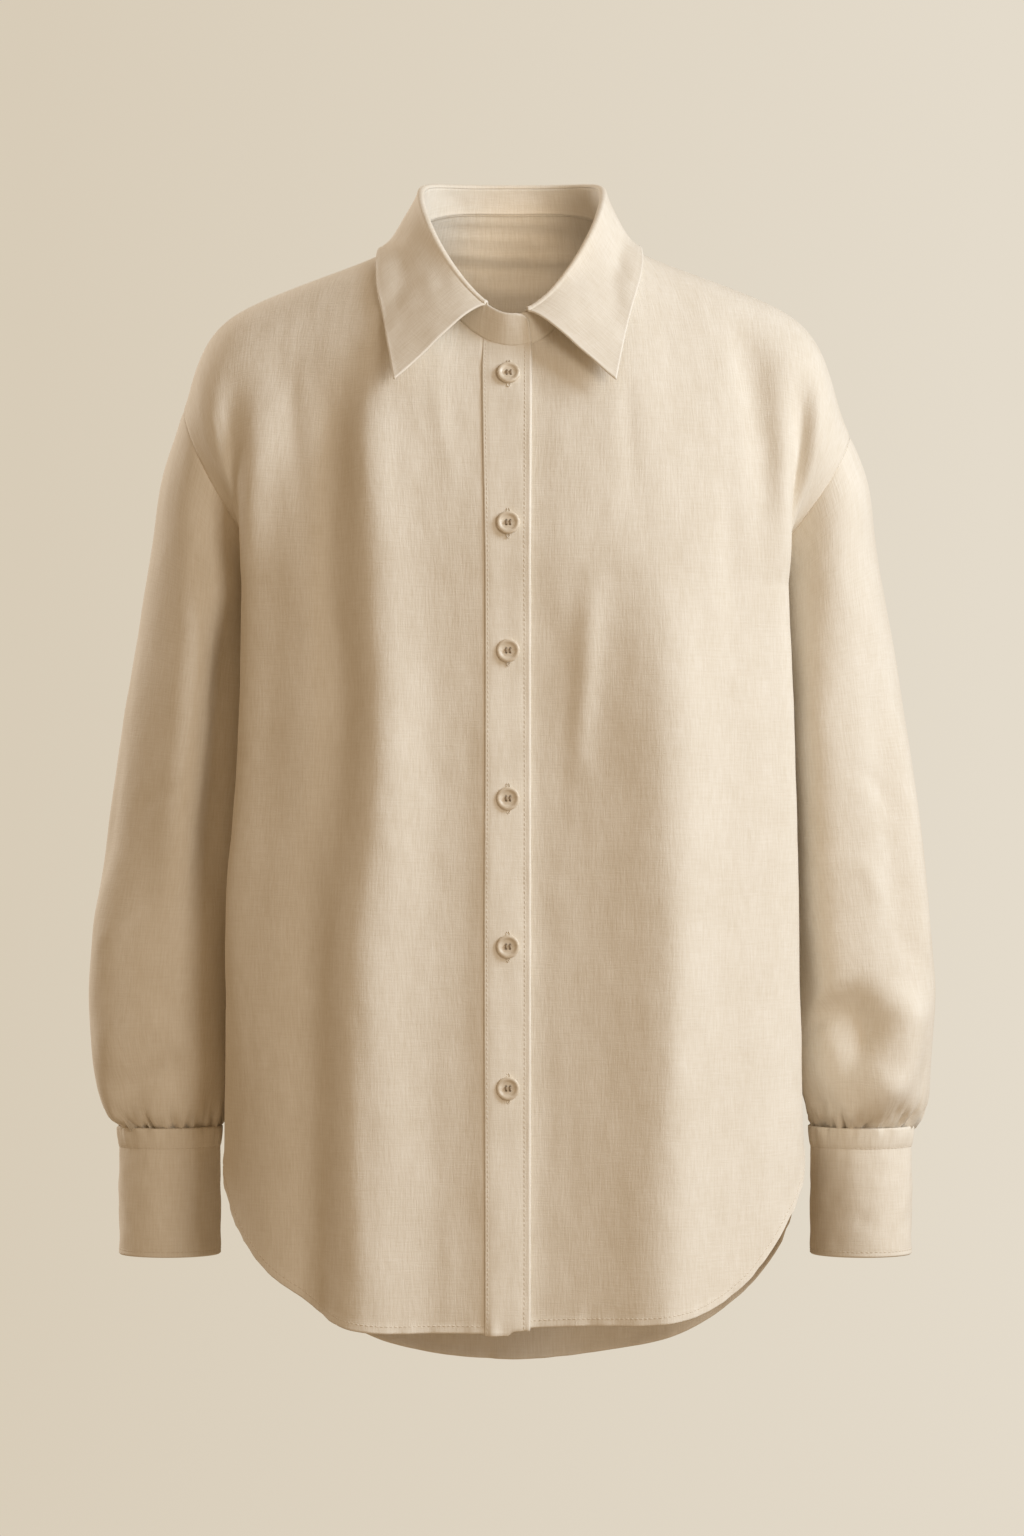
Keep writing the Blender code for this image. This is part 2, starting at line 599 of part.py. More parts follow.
def sleeve_grid(side, rows=SLEEVE_ROWS, columns=SLEEVE_COLUMNS):
    """Grid of a sleeve: rows from the armhole to the cuff, columns round the arm."""
    table = np.array([armhole_row(side), *SLEEVE_RINGS])
    table[1:, [0, 2]] += ARM_SET_OUT[side]
    table[-3:, [0, 2]] += CUFF_SET_OUT[side] - ARM_SET_OUT[side]
    middle = (table[:, [0, 1]] + table[:, [2, 3]]) / 2
    place = along(middle)
    length = np.linalg.norm(np.diff(middle, axis=0), axis=1).sum()
    steps = np.linspace(0, 1, rows)
    steps = steps + 0.020 * np.sin(2 * math.pi * steps)
    steps = np.append(steps * place[-2], 1.0)
    sizes = spline(place, table, steps)
    turn = np.arange(columns) / columns
    base = ring_point(sizes[:, None, :], turn[None, :])
    facing = normals(np.concatenate([base[:, -2:], base, base[:, :2]], axis=1))[:, 2:-2]
    centre = base.mean(axis=1, keepdims=True)
    if ((base - centre) * facing).sum() < 0:
        facing = -facing
    girth = np.linalg.norm(np.diff(base, axis=1), axis=2).sum(axis=1).mean()
    down = (steps * length)[:, None]
    folds = [
        (t0 * girth, h0, t1 * girth, h1, *rest)
        for t0, h0, t1, h1, *rest in SLEEVE_FOLDS[side]
    ]
    raised = np.zeros((len(steps), columns))
    for wrap in (-1.0, 0.0, 1.0):
        raised = raised + fold_height((turn[None, :] + wrap) * girth, down, folds)
    ends = ease(down / 0.03) * ease((length - down) / 0.02)
    gathered = ease((down - (length - GATHER_LENGTH)) / GATHER_LENGTH)
    tucked = 1 - 0.85 * ease((down - (length - 0.020)) / 0.015)
    waves = GATHER_DEPTH * np.cos(2 * math.pi * GATHERS * turn)[None, :]
    grid = base + facing * (raised * ends + waves * gathered * tucked)[..., None]
    grid[..., 0] *= SIDES[side]
    return grid


def neck_round(shares, which):
    """Points round the neck: 0 centre back, 1 centre front by the right, -1 by the left."""
    inside = np.where(np.abs(shares) > 1, 2 - np.abs(shares), np.abs(shares))
    points = neck_point(inside, which)
    on_right = np.where(np.abs(shares) > 1, shares < 0, shares > 0)
    points[:, 0] *= np.where(on_right, -1.0, 1.0)
    return points


def stand_shares():
    """Places round the neck of the stand's columns, which are those of the panels below it."""
    arc = ARC["front"][2]
    left = front_shares((PLACKET_SEAM + 0.0012) / arc, "left")[1 : NECK_COLUMNS + 1]
    right = front_shares(PLACKET_SEAM / arc, "right")[-NECK_COLUMNS - 1 :]
    strip = np.linspace(PLACKET_SEAM, PLACKET_EDGE, PLACKET_COLUMNS + 1)[1:] / arc
    back = 0.5 * neck_columns() / NECK_SHARE
    return np.concatenate([
        0.5 * left / NECK_SHARE - 1,
        -back[-2:0:-1],
        back[:-1],
        1 + 0.5 * right / NECK_SHARE,
        1 + 0.5 * strip / NECK_SHARE,
    ])


def stand_grid(panels):
    """Grid of the collar stand, from the panels' neck edges to the roll."""
    middle = len(panels["back"][0]) // 2
    around = slice(middle - NECK_COLUMNS + 1, middle + NECK_COLUMNS)
    seam = np.concatenate([
        panels["front_left"][-1, 1 : NECK_COLUMNS + 1],
        panels["back"][-1, around][::-1],
        panels["front_right"][-1, -NECK_COLUMNS - 1 :],
        panels["placket"][-1, 1:],
    ])
    shares = stand_shares()
    plain = neck_round(shares, "seam")
    roll = neck_round(shares, "roll") + (seam - plain) * [1.0, 1.0, 0.3]
    corner = ((shares - shares[-1]) / (0.5 * 0.010 / (ARC["front"][2] * NECK_SHARE)) + 1).clip(0)
    roll[:, 2] -= 0.008 * (1 - np.sqrt(1 - corner.clip(0, 0.995) ** 2))
    t = np.linspace(0, 1, STAND_ROWS + 1)[:, None, None]
    return seam + (roll - seam) * t


def body_samples(panels):
    """Points and outward normals over the panels, to lay the collar on."""
    points = []
    outward = []
    for name in ("front_right", "front_left", "back"):
        face = "back" if name == "back" else "front"
        span = {"front_right": (-1, 0), "front_left": (0, 1), "back": (-1, 1)}[name]
        grid, facing = panel(np.linspace(*span, DENSE), face, 8, 40)
        points.append(grid[8:-2].reshape(-1, 3))
        outward.append(facing[8:-2].reshape(-1, 3))
    return np.concatenate(points), np.concatenate(outward)


def clear_of_body(points, body, clearance, share):
    """The grid of points, eased out where it would come too near to the panels.

    The share, one for each row, is how much of the move the row makes.
    """
    places, outward = body
    points = points.copy()
    for _ in range(4):
        move = np.zeros_like(points)
        for place in np.ndindex(points.shape[:2]):
            p = points[place]
            near = int(((places - p) ** 2).sum(axis=1).argmin())
            height = (p - places[near]) @ outward[near]
            move[place] = outward[near] * max(clearance - height, 0.0)
        beside = np.concatenate([move[:, :1], move, move[:, -1:]], axis=1)
        points += (beside[:, :-2] + 2 * move + beside[:, 2:]) / 4 * share
    return points


def leaf_grid(body):
    """Grid of the collar leaf: over the roll and down to its edge, tip to tip round the back."""
    ends = {side: share_at(abs(out)) for side, out in LEAF_ENDS.items()}
    shares = np.linspace(-ends["left"], ends["right"], LEAF_COLUMNS + 1)
    roll = neck_round(shares, "roll")
    up = unit(roll - neck_round(shares, "seam"))
    out = unit(np.cross(up, np.gradient(roll, axis=0)))
    out *= np.sign((out * roll * [1.0, 1.0, 0.0]).sum(axis=1, keepdims=True))
    table = np.array(COLLAR_EDGE)
    mirrored = table[1:3] * [-1.0, -1.0, 1.0, 1.0]
    whole = np.concatenate([mirrored[::-1], table])
    knots = (np.arange(len(whole)) - 2) / (len(table) - 1)
    reach = np.where(shares > 0, shares / ends["right"], -shares / ends["left"])
    right_out, left_out, back, height = spline(knots, whole, reach).T
    edge = np.stack([np.where(shares > 0, -right_out, left_out), back, height], axis=-1)

    start = roll + up * (SEAM_GAP + 0.0009)
    turn = np.linspace(0, math.pi, LEAF_CREST_ROWS + 1)[:, None, None]
    crest = start + LEAF_ROLL * (out * (1 - np.cos(turn)) + up * np.sin(turn))
    over = crest[-1]
    fall = edge - over
    length = np.linalg.norm(fall, axis=1, keepdims=True)
    to_tip = ease((reach - 0.72) / 0.28)[:, None]
    level = unit(unit(fall) + [0.0, 0.0, LEAF_EDGE_BOW])
    leave = unit(-up * (1 - to_tip) + level * to_tip) * length * 0.45
    t = np.linspace(0, 1, LEAF_FALL_ROWS + 1)[1:, None, None]
    down = (
        (2 * t**3 - 3 * t**2 + 1) * over
        + (t**3 - 2 * t**2 + t) * leave
        + (3 * t**2 - 2 * t**3) * edge
        + (t**3 - t**2) * fall
    )
    down = clear_of_body(down, body, LEAF_CLEARANCE, ease((t - 0.42) / 0.25))
    return np.concatenate([crest, down])


def share_at(out):
    """Share of half the roll, near the front, that lies this far out from the middle."""
    dense = np.linspace(0.72, 1.0, DENSE)
    return np.interp(-out, -neck_point(dense, "roll")[:, 0], dense)


def cuff_point(turn, height):
    """Point of the cuff's round, with the flare at its top."""
    depth = (CUFF_TOP - height) / (CUFF_TOP - CUFF_BOTTOM)
    flare = CUFF_FLARE * (1 - ease(depth / 0.18))
    out = CUFF_OUT + (CUFF_HALF_WIDTH + flare) * np.cos(turn)
    back = CUFF_BACK - (CUFF_HALF_DEPTH + flare) * np.sin(turn)
    return np.stack(np.broadcast_arrays(out, back, height), axis=-1)


def cuff_grid(rows, columns):
    """Grid of a cuff: an open strip once round the wrist, its end lapped over its start."""
    start = CUFF_OPENING_ANGLE
    turn = np.linspace(start, start + 2 * math.pi + CUFF_OVERLAP_TURN, columns + 1)
    height = np.linspace(CUFF_BOTTOM, CUFF_TOP, rows + 1)[:, None]
    grid = cuff_point(turn[None, :], height)
    step = (CUFF_WALL + 2 * SEAM_GAP) / 2
    under = 1 - ease((turn - start - CUFF_OVERLAP_TURN) / 0.9)
    over = ease((turn - start - 2 * math.pi + 0.9) / 0.9)
    lap = over - under
    centre = np.array([CUFF_OUT, CUFF_BACK, 0.0])
    facing = unit((grid - centre) * [1.0, 1.0, 0.0])
    return grid + facing * (step * lap)[None, :, None]


def build_cuffs(collection, surface):
    """A lapped cuff on each wrist."""
    for side, sign in SIDES.items():
        grid = cuff_grid(CUFF_ROWS, CUFF_COLUMNS)
        grid[..., 0] = sign * (grid[..., 0] + CUFF_SET_OUT[side])
        cloth("cuff_" + side, grid, CUFF_WALL, collection, surface)


def sewn_grids():
    """All the pieces of the body and sleeves, drawn apart at the seams that they share."""
    grids = {
        "front_right": front_right_grid(),
        "front_left": front_left_grid(),
        "placket": placket_grid(),
        "back": back_grid(),
        "sleeve_right": sleeve_grid("right"),
        "sleeve_left": sleeve_grid("left"),
    }
    grids["collar_stand"] = stand_grid(grids)
    right, left, back = grids["front_right"], grids["front_left"], grids["back"]
    side_rows = slice(0, TORSO_ROWS + 1)
    arm_rows = slice(TORSO_ROWS, None)
    half = SLEEVE_COLUMNS // 2
    out = SHOULDER_COLUMNS + 1
    # Shoulder seams
    sew((right[-1, :out], right[-2, :out]), (back[-1, :out], back[-2, :out]))
    sew((left[-1, -out:], left[-2, -out:]), (back[-1, -out:], back[-2, -out:]))
    # Side seams
    sew((right[side_rows, 0], right[side_rows, 1]), (back[side_rows, 0], back[side_rows, 1]))
    sew((left[side_rows, -1], left[side_rows, -2]), (back[side_rows, -1], back[side_rows, -2]))
    # Armholes
    for name, front, end, inner in (("right", right, 0, 1), ("left", left, -1, -2)):
        sleeve = grids["sleeve_" + name]
        ahead = np.arange(half, -1, -1)
        behind = np.arange(half, SLEEVE_COLUMNS + 1) % SLEEVE_COLUMNS
        for piece, columns in ((front, ahead), (back, behind)):
            edge, nearby = sleeve[0, columns], sleeve[1, columns]
            below = piece[TORSO_ROWS - 2 : -2, inner]
            sew((piece[arm_rows, end], below), (edge, nearby), ARMHOLE_SET_BACK)
            sleeve[0, columns] = edge
    # Neck
    stand = grids["collar_stand"]
    middle = back.shape[1] // 2
    around = slice(middle - NECK_COLUMNS + 1, middle + NECK_COLUMNS)
    below = [left[:, 1 : NECK_COLUMNS + 1], back[:, around][:, ::-1],
             right[:, -NECK_COLUMNS - 1 :], grids["placket"][:, 1:]]
    neck_before = left[-1, 1].copy(), grids["placket"][-1, 1].copy()
    at = 0
    for piece in below:
        count = piece.shape[1]
        edge = stand[0, at : at + count]
        sew((piece[-1], piece[-2]), (edge, stand[1, at : at + count]))
        at += count
    left[-1, 0] += left[-1, 1] - neck_before[0]
    grids["placket"][-1, 0] += grids["placket"][-1, 1] - neck_before[1]
    return grids


def button_mesh(name, radius):
    """A turned button: flat back, rounded rim and a dished middle with four holes."""
    profile = [
        # out, up, as shares of the radius
        (0.00, 0.19),
        (0.54, 0.19),
        (0.76, 0.33),
        (0.92, 0.31),
        (1.00, 0.18),
        (0.94, 0.00),
        (0.00, 0.00),
    ]
    shape = bmesh.new()
    points = [shape.verts.new((out * radius, 0.0, up * radius)) for out, up in profile]
    for a, b in zip(points, points[1:]):
        shape.edges.new((a, b))
    bmesh.ops.spin(
        shape, geom=shape.verts[:] + shape.edges[:], cent=(0, 0, 0), axis=(0, 0, 1),
        angle=2 * math.pi, steps=BUTTON_STEPS, use_merge=True,
    )
    bmesh.ops.remove_doubles(shape, verts=shape.verts[:], dist=1e-5)
    bmesh.ops.recalc_face_normals(shape, faces=shape.faces[:])
    mesh = bpy.data.meshes.new(name)
    shape.to_mesh(mesh)
    shape.free()
    return mesh


def add_button(name, mesh, place, facing, collection, surface, cutters):
    """A button on its cloth, with four sewing holes cut through it."""
    made = add_object(name, mesh, collection, surface)
    forward = np.array(facing)
    side = unit(np.cross([0.0, 0.0, 1.0], forward))
    up = np.cross(forward, side)
    matrix = np.eye(4)
    matrix[:3, 0], matrix[:3, 1], matrix[:3, 2], matrix[:3, 3] = side, up, forward, place
    made.matrix_world = Matrix(matrix.tolist())
    radius = max(v.co.x for v in mesh.vertices)
    shape = bmesh.new()
    spread = radius * 0.17
    for x in (-spread, spread):
        for y in (-spread, spread):
            hole = bmesh.ops.create_cone(
                shape, cap_ends=True, segments=6, radius1=radius * 0.10,
                radius2=radius * 0.10, depth=radius * 2,
            )
            bmesh.ops.translate(shape, verts=hole["verts"], vec=(x, y, 0.0))
    holes = bpy.data.meshes.new(name + "_holes")
    shape.to_mesh(holes)
    shape.free()
    cutter = bpy.data.objects.new(name + "_holes", holes)
    cutter.matrix_world = made.matrix_world.copy()
    cutter.hide_render = True
    cutter.display_type = "WIRE"
    cutters.objects.link(cutter)
    cut = made.modifiers.new("holes", "BOOLEAN")
    cut.operation = "DIFFERENCE"
    cut.object = cutter
    return made


def finer(grid, steps):
    """The flat-sided grid with each of its cells cut into this many steps each way."""
    for axis in (0, 1):
        count = grid.shape[axis]
        at = np.linspace(0, count - 1, steps * (count - 1) + 1)
        low = np.minimum(at.astype(int), count - 2)
        share = (at - low).reshape((-1, 1, 1) if axis == 0 else (1, -1, 1))
        here, there = np.take(grid, low, axis), np.take(grid, low + 1, axis)
        grid = here + (there - here) * share
    return grid


def build_front_buttons(placket, collection, surface, cutters):
    """Six buttons down the placket, each laid on the highest point of the cloth below it."""
    cloth_points = finer(placket, CELL_STEPS)
    facing = normals(cloth_points)
    facing *= -np.sign(facing[:1, :1, 1:2])
    across = (BUTTON_LINE - PLACKET_SEAM) / (PLACKET_EDGE - PLACKET_SEAM)
    column = round(across * (cloth_points.shape[1] - 1))
    for number, height in enumerate(BUTTON_HEIGHTS, 1):
        row = int(np.abs(cloth_points[:, column, 2] - height).argmin())
        place, forward = cloth_points[row, column], facing[row, column]
        away = cloth_points - place
        near = np.linalg.norm(away, axis=2) < BUTTON_RADIUS + 0.001
        rise = (away[near] @ forward).max()
        place = place + forward * (rise + FOLDED_CLOTH / 2 + SEAM_GAP)
        mesh = button_mesh(f"button_{number}", BUTTON_RADIUS)
        add_button(f"button_{number}", mesh, place, forward, collection, surface, cutters)


def build_cuff_buttons(collection, surface, cutters):
    """A button on each cuff's lap."""
    turn = CUFF_OPENING_ANGLE + CUFF_OVERLAP_TURN * 0.5
    lift = CUFF_WALL + 2 * SEAM_GAP
    height = (CUFF_TOP + CUFF_BOTTOM) / 2
    for side, sign in SIDES.items():
        place = cuff_point(np.array(turn), np.array(height))
        facing = unit((place - [CUFF_OUT, CUFF_BACK, 0.0]) * [1.0, 1.0, 0.0])
        place = place + facing * lift + [CUFF_SET_OUT[side], 0.0, 0.0]
        mirror = np.array([sign, 1.0, 1.0])
        name = "cuff_button_" + side
        mesh = button_mesh(name, CUFF_BUTTON_RADIUS)
        add_button(name, mesh, place * mirror, facing * mirror, collection, surface, cutters)


def main():
    """Clears the scene and builds the shirt."""
    for old in list(bpy.data.objects):
        bpy.data.objects.remove(old)
    collection = bpy.data.collections.new("linen_shirt")
    cutters = bpy.data.collections.new("cutters")
    bpy.context.scene.collection.children.link(collection)
    bpy.context.scene.collection.children.link(cutters)
    linen = material("linen", LINEN_COLOUR, 0.9)
    shell = material("button_shell", BUTTON_COLOUR, 0.4)
    grids = sewn_grids()
    for name, grid in grids.items():
        wall = FOLDED_CLOTH if name == "placket" else CLOTH
        cloth(name, grid, wall, collection, linen, closed=name.startswith("sleeve"))
    cloth("collar_leaf", leaf_grid(body_samples(grids)), FOLDED_CLOTH, collection, linen)
    build_cuffs(collection, linen)
    build_front_buttons(grids["placket"], collection, shell, cutters)
    build_cuff_buttons(collection, shell, cutters)


main()
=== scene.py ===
"""Looks of an oversized linen shirt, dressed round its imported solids.

Metres, +Z up, +Y towards the back of the shirt, +X to the wearer's left arm. The origin is the
middle of the neck hole. Each cloth piece is a thin shell on the form of the solid that it stands
for, finer in its folds, and it gets its seams, hems, stitches, buttonholes and a woven finish.
"""

from __future__ import annotations

import logging
import math
from dataclasses import dataclass, field, replace
from enum import Enum

import bmesh
import bpy
import numpy as np
from mathutils import Matrix
from mathutils.kdtree import KDTree


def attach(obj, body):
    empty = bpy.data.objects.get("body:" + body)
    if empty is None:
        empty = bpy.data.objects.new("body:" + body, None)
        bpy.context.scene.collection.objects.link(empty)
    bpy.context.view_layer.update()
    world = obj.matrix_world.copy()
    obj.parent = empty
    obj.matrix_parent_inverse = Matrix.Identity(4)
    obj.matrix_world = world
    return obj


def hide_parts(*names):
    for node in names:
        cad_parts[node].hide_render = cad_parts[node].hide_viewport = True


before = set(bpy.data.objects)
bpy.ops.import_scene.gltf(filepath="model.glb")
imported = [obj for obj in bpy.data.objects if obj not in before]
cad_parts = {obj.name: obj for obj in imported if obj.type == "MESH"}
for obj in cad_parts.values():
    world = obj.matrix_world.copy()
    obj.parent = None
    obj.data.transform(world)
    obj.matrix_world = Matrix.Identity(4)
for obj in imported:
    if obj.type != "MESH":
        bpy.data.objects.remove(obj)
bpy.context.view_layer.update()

Array = np.ndarray
Material = bpy.types.Material
Mesh = bpy.types.Mesh
Node = bpy.types.Node
Object = bpy.types.Object
Shape = bmesh.types.BMesh
Socket = bpy.types.NodeSocket
LOG = logging.getLogger("linen_shirt")

# Steps from an edge, in metres, where rows and columns lie close together
EDGE_STEPS = (0.0007, 0.0016, 0.0027, 0.0040, 0.0056)
HEM_STEPS = (0.0008, 0.0020, 0.0034, 0.0044, 0.0052, 0.0062, 0.0080)
# A distance from a seam or hem, in metres, at which it has no effect
FAR = 1.0
# Straight up, and what a direction is multiplied by to leave its level part
UP = np.array([0.0, 0.0, 1.0])
LEVEL = np.array([1.0, 1.0, 0.0])


class Side(Enum):
    """The wearer's two sides."""

    RIGHT = "right"
    LEFT = "left"

    @property
    def sign(self) -> float:
        """Which way the side lies along X."""
        return -1.0 if self is Side.RIGHT else 1.0

    @property
    def flip(self) -> Array:
        """What a place on the wearer's left is multiplied by to lie on this side."""
        return np.array([self.sign, 1.0, 1.0])


class Face(Enum):
    """The two faces of the body."""

    FRONT = "front"
    BACK = "back"

    @property
    def outward(self) -> float:
        """Which way the face looks along Y."""
        return -1.0 if self is Face.FRONT else 1.0


class Edge(Enum):
    """The edges of a grid of cloth, each with its own points and those just inside them."""

    LOW = np.s_[0], np.s_[1]
    HIGH = np.s_[-1], np.s_[-2]
    FIRST = np.s_[:, 0], np.s_[:, 1]
    LAST = np.s_[:, -1], np.s_[:, -2]


def ease(x: Array | float) -> Array:
    """Smooth rise from 0 to 1.

    Args:
        x: Places, of which those from 0 to 1 lie on the rise.

    Returns:
        The height of the rise at each place.
    """
    x = np.clip(x, 0.0, 1.0)
    return x * x * (3.0 - 2.0 * x)


def spline(knots: Array, rows: Array, at: Array) -> Array:
    """Natural cubic spline through the rows of a table.

    Args:
        knots: Place of each row.
        rows: The table, a row for each knot.
        at: Places at which it is read.

    Returns:
        The row at each place.
    """
    knots = np.asarray(knots, float)
    rows = np.asarray(rows, float)
    if rows.ndim == 1:
        return spline(knots, rows[:, None], at)[..., 0]
    step = np.diff(knots)
    slope = np.diff(rows, axis=0) / step[:, None]
    count = len(knots)
    system = np.eye(count)
    right = np.zeros_like(rows)
    for k in range(1, count - 1):
        system[k, k - 1 : k + 2] = step[k - 1], 2 * (step[k - 1] + step[k]), step[k]
        right[k] = 6 * (slope[k] - slope[k - 1])
    bend = np.linalg.solve(system, right)
    at = np.asarray(at, float)
    k = np.clip(np.searchsorted(knots, at) - 1, 0, count - 2)
    u = (at - knots[k])[..., None]
    h = step[k][..., None]
    curve = bend[k] * (h - u) ** 3 / (6 * h) + bend[k + 1] * u**3 / (6 * h)
    low = (rows[k] / h - bend[k] * h / 6) * (h - u)
    high = (rows[k + 1] / h - bend[k + 1] * h / 6) * u
    return curve + low + high


def hermite(start: Array, leave: Array, end: Array, arrive: Array, t: Array) -> Array:
    """Points of a curve that leaves one place and arrives at another.

    Args:
        start: First points.
        leave: Direction and strength at the start.
        end: Last points.
        arrive: Direction and strength at the end.
        t: Shares of the way.

    Returns:
        The points at each share.
    """
    return (
        (2 * t**3 - 3 * t**2 + 1) * start
        + (t**3 - 2 * t**2 + t) * leave
        + (3 * t**2 - 2 * t**3) * end
        + (t**3 - t**2) * arrive
    )


def along(points: Array) -> Array:
    """Distance of each point of a polyline from its start, in metres.

    Args:
        points: The polyline.

    Returns:
        The distances, the first of them 0.
    """
    lengths = np.linalg.norm(np.diff(points, axis=0), axis=1)
    return np.concatenate([[0.0], np.cumsum(lengths)])


def unit(vectors: Array) -> Array:
    """The vectors at length 1."""
    return vectors / np.maximum(np.linalg.norm(vectors, axis=-1, keepdims=True), 1e-12)


def normals(grid: Array) -> Array:
    """Unit normals of a grid of points, by differences along its rows and columns.

    Args:
        grid: The points, by row and column.

    Returns:
        The normal at each point.
    """
    by_row = np.gradient(grid, axis=0)
    by_column = np.gradient(grid, axis=1)
    return unit(np.cross(by_column, by_row))


def softened(grid: Array, passes: int) -> Array:
    """The grid of vectors with each one shared out among its neighbours, time after time.

    Args:
        grid: The vectors, by row and column.
        passes: How many times they are shared out.

    Returns:
        The smoother grid.
    """
    for _ in range(passes):
        wide = np.pad(grid, ((1, 1), (1, 1), (0, 0)), "edge")
        beside = wide[:-2, 1:-1] + wide[2:, 1:-1] + wide[1:-1, :-2] + wide[1:-1, 2:]
        grid = (4 * grid + beside) / 8
    return grid


def spaced(length: float, step: float, start: tuple = (), end: tuple = ()) -> Array:
    """Places along a length, close together at its ends.

    Args:
        length: The whole length.
        step: Usual distance between places.
        start: Places near the start, as distances from it.
        end: Places near the end, as distances from it.

    Returns:
        The places in order, with both ends.
    """
    head = np.array([0.0, *start])
    tail = length - np.array([0.0, *end])[::-1]
    count = max(int(round((tail[0] - head[-1]) / step)), 1)
    middle = np.linspace(head[-1], tail[0], count + 1)[1:-1]
    return np.concatenate([head, middle, tail])


@dataclass(frozen=True)
class Fold:
    """A soft ridge, or a trough where the depth is below 0, along a bowed line on the cloth.

    Sizes are metres on the laid-out cloth. On a sleeve, across is a turn round the arm.
    """

    across_top: float
    up_top: float
    across_low: float
    up_low: float
    bow: float
    width: float
    depth: float
    fade_top: float
    fade_low: float

    def height(self, across: Array, up: Array) -> Array:
        """How far the fold raises the cloth.

        Args:
            across: Places across the cloth.
            up: Places along it.

        Returns:
            The height at each place.
        """
        path = np.array([self.across_low - self.across_top, self.up_low - self.up_top])
        length = float(np.hypot(*path))
        path = path / length
        from_start = across - self.across_top, up - self.up_top
        t = (from_start[0] * path[0] + from_start[1] * path[1]) / length
        aside = from_start[0] * path[1] - from_start[1] * path[0]
        inside = np.clip(t, 0.0, 1.0)
        aside = aside + self.bow * 4 * inside * (1 - inside)
        ends = ease(t / self.fade_top) * ease((1 - t) / self.fade_low)
        return self.depth * np.exp(-((aside / self.width) ** 2)) * ends

    def scaled(self, across: float) -> Fold:
        """The same fold with its places across the cloth multiplied."""
        return replace(self, across_top=self.across_top * across,
                       across_low=self.across_low * across)


def folds_of(rows: tuple) -> list[Fold]:
    """The folds of a table with a row for each."""
    return [Fold(*row) for row in rows]


def raised_by(folds: list[Fold], across: Array, up: Array) -> Array:
    """Height of several folds together at each place."""
    return sum(fold.height(across, up) for fold in folds)


@dataclass(frozen=True)
class Crumple:
    """The small uneven waves that washed linen keeps all over."""

    seed: int
    depth: float = 0.00012
    shortest: float = 0.013
    longest: float = 0.055
    waves: int = 26
    upright: float = 2.2

    def height(self, across: Array, up: Array) -> Array:
        """How far the waves raise the cloth.

        Args:
            across: Places across the cloth.
            up: Places along it.

        Returns:
            The height at each place.
        """
        draw = np.random.default_rng(self.seed)
        total = np.zeros(np.broadcast(across, up).shape)
        for _ in range(self.waves):
            length = math.exp(draw.uniform(math.log(self.shortest), math.log(self.longest)))
            angle = draw.uniform(0, math.pi)
            start, sway = draw.uniform(0, 2 * math.pi, 2)
            number = 2 * math.pi / length
            x = across * math.cos(angle) * number
            y = up * math.sin(angle) * number / self.upright
            patch = 0.5 + 0.5 * np.sin(sway + across * number / 3.1 + up * number / 4.3)
            total = total + patch * np.sin(x + y + start) * (length / self.longest) ** 0.8
        return total * self.depth


@dataclass
class Laid:
    """Cloth laid on its form.

    Points are its middle, facing is the way out, across and up are places on the flat cut,
    and seam and hem are the distances from them, all in metres.
    """

    points: Array
    facing: Array
    across: Array
    up: Array
    seam: Array
    hem: Array

    def __post_init__(self) -> None:
        """Gives each point its own places and distances."""
        for name in ("across", "up", "seam", "hem"):
            setattr(self, name, np.broadcast_to(getattr(self, name), self.points.shape[:2]))

    def outward(self) -> Array:
        """Normals of the folded surface, turned to the side that faces out."""
        own = normals(self.points)
        return np.where((own * self.facing).sum(axis=-1, keepdims=True) < 0, -own, own)

    def raise_by(self, height: Array) -> None:
        """Moves the points out by a height at each."""
        self.points = self.points + self.facing * height[..., None]

    def area(self) -> float:
        """Area of the cloth in square metres.

        Returns:
            The sum over both triangles of each square.
        """
        p = self.points
        one = np.cross(p[1:, :-1] - p[:-1, :-1], p[:-1, 1:] - p[:-1, :-1])
        two = np.cross(p[:-1, 1:] - p[1:, 1:], p[1:, :-1] - p[1:, 1:])
        return float(np.linalg.norm(one, axis=2).sum() + np.linalg.norm(two, axis=2).sum()) / 2


def add_object(name: str, data: bpy.types.ID) -> Object:
    """Adds an object to the scene.

    Args:
        name: Its name.
        data: Its mesh, curve, camera or light.

    Returns:
        The object.
    """
    made = bpy.data.objects.new(name, data)
    bpy.context.scene.collection.objects.link(made)
    return made


def dress(mesh: Mesh, finish: Material) -> None:
    """Gives a mesh its one finish and shades it smoothly.

    Args:
        mesh: The mesh.
        finish: The material.
    """
    mesh.polygons.foreach_set("use_smooth", np.ones(len(mesh.polygons), bool))
    mesh.materials.clear()
    mesh.materials.append(finish)


def turned(profile: list, steps: int) -> Shape:
    """A shape turned once round the upright axis.

    Args:
        profile: Points of its outline, out from the axis and up.
        steps: Steps of the turn.

    Returns:
        The shape.
    """
    shape = bmesh.new()
    points = [shape.verts.new((out, 0.0, up)) for out, up in profile]
    for a, b in zip(points, points[1:]):
        shape.edges.new((a, b))
    bmesh.ops.spin(shape, geom=shape.verts[:] + shape.edges[:], cent=(0, 0, 0),
                   axis=(0, 0, 1), angle=2 * math.pi, steps=steps, use_merge=True)
    return shape


def mesh_of(name: str, shape: Shape) -> Mesh:
    """Keeps a shape as a mesh, and frees the shape.

    Args:
        name: The mesh's name.
        shape: The shape.

    Returns:
        The mesh.
    """
    mesh = bpy.data.meshes.new(name)
    shape.to_mesh(mesh)
    shape.free()
    return mesh


def side_and_up(out: Array) -> tuple[Array, Array]:
    """The level and the rising direction of a surface that looks out."""
    side = unit(np.cross(UP, out))
    return side, np.cross(out, side)


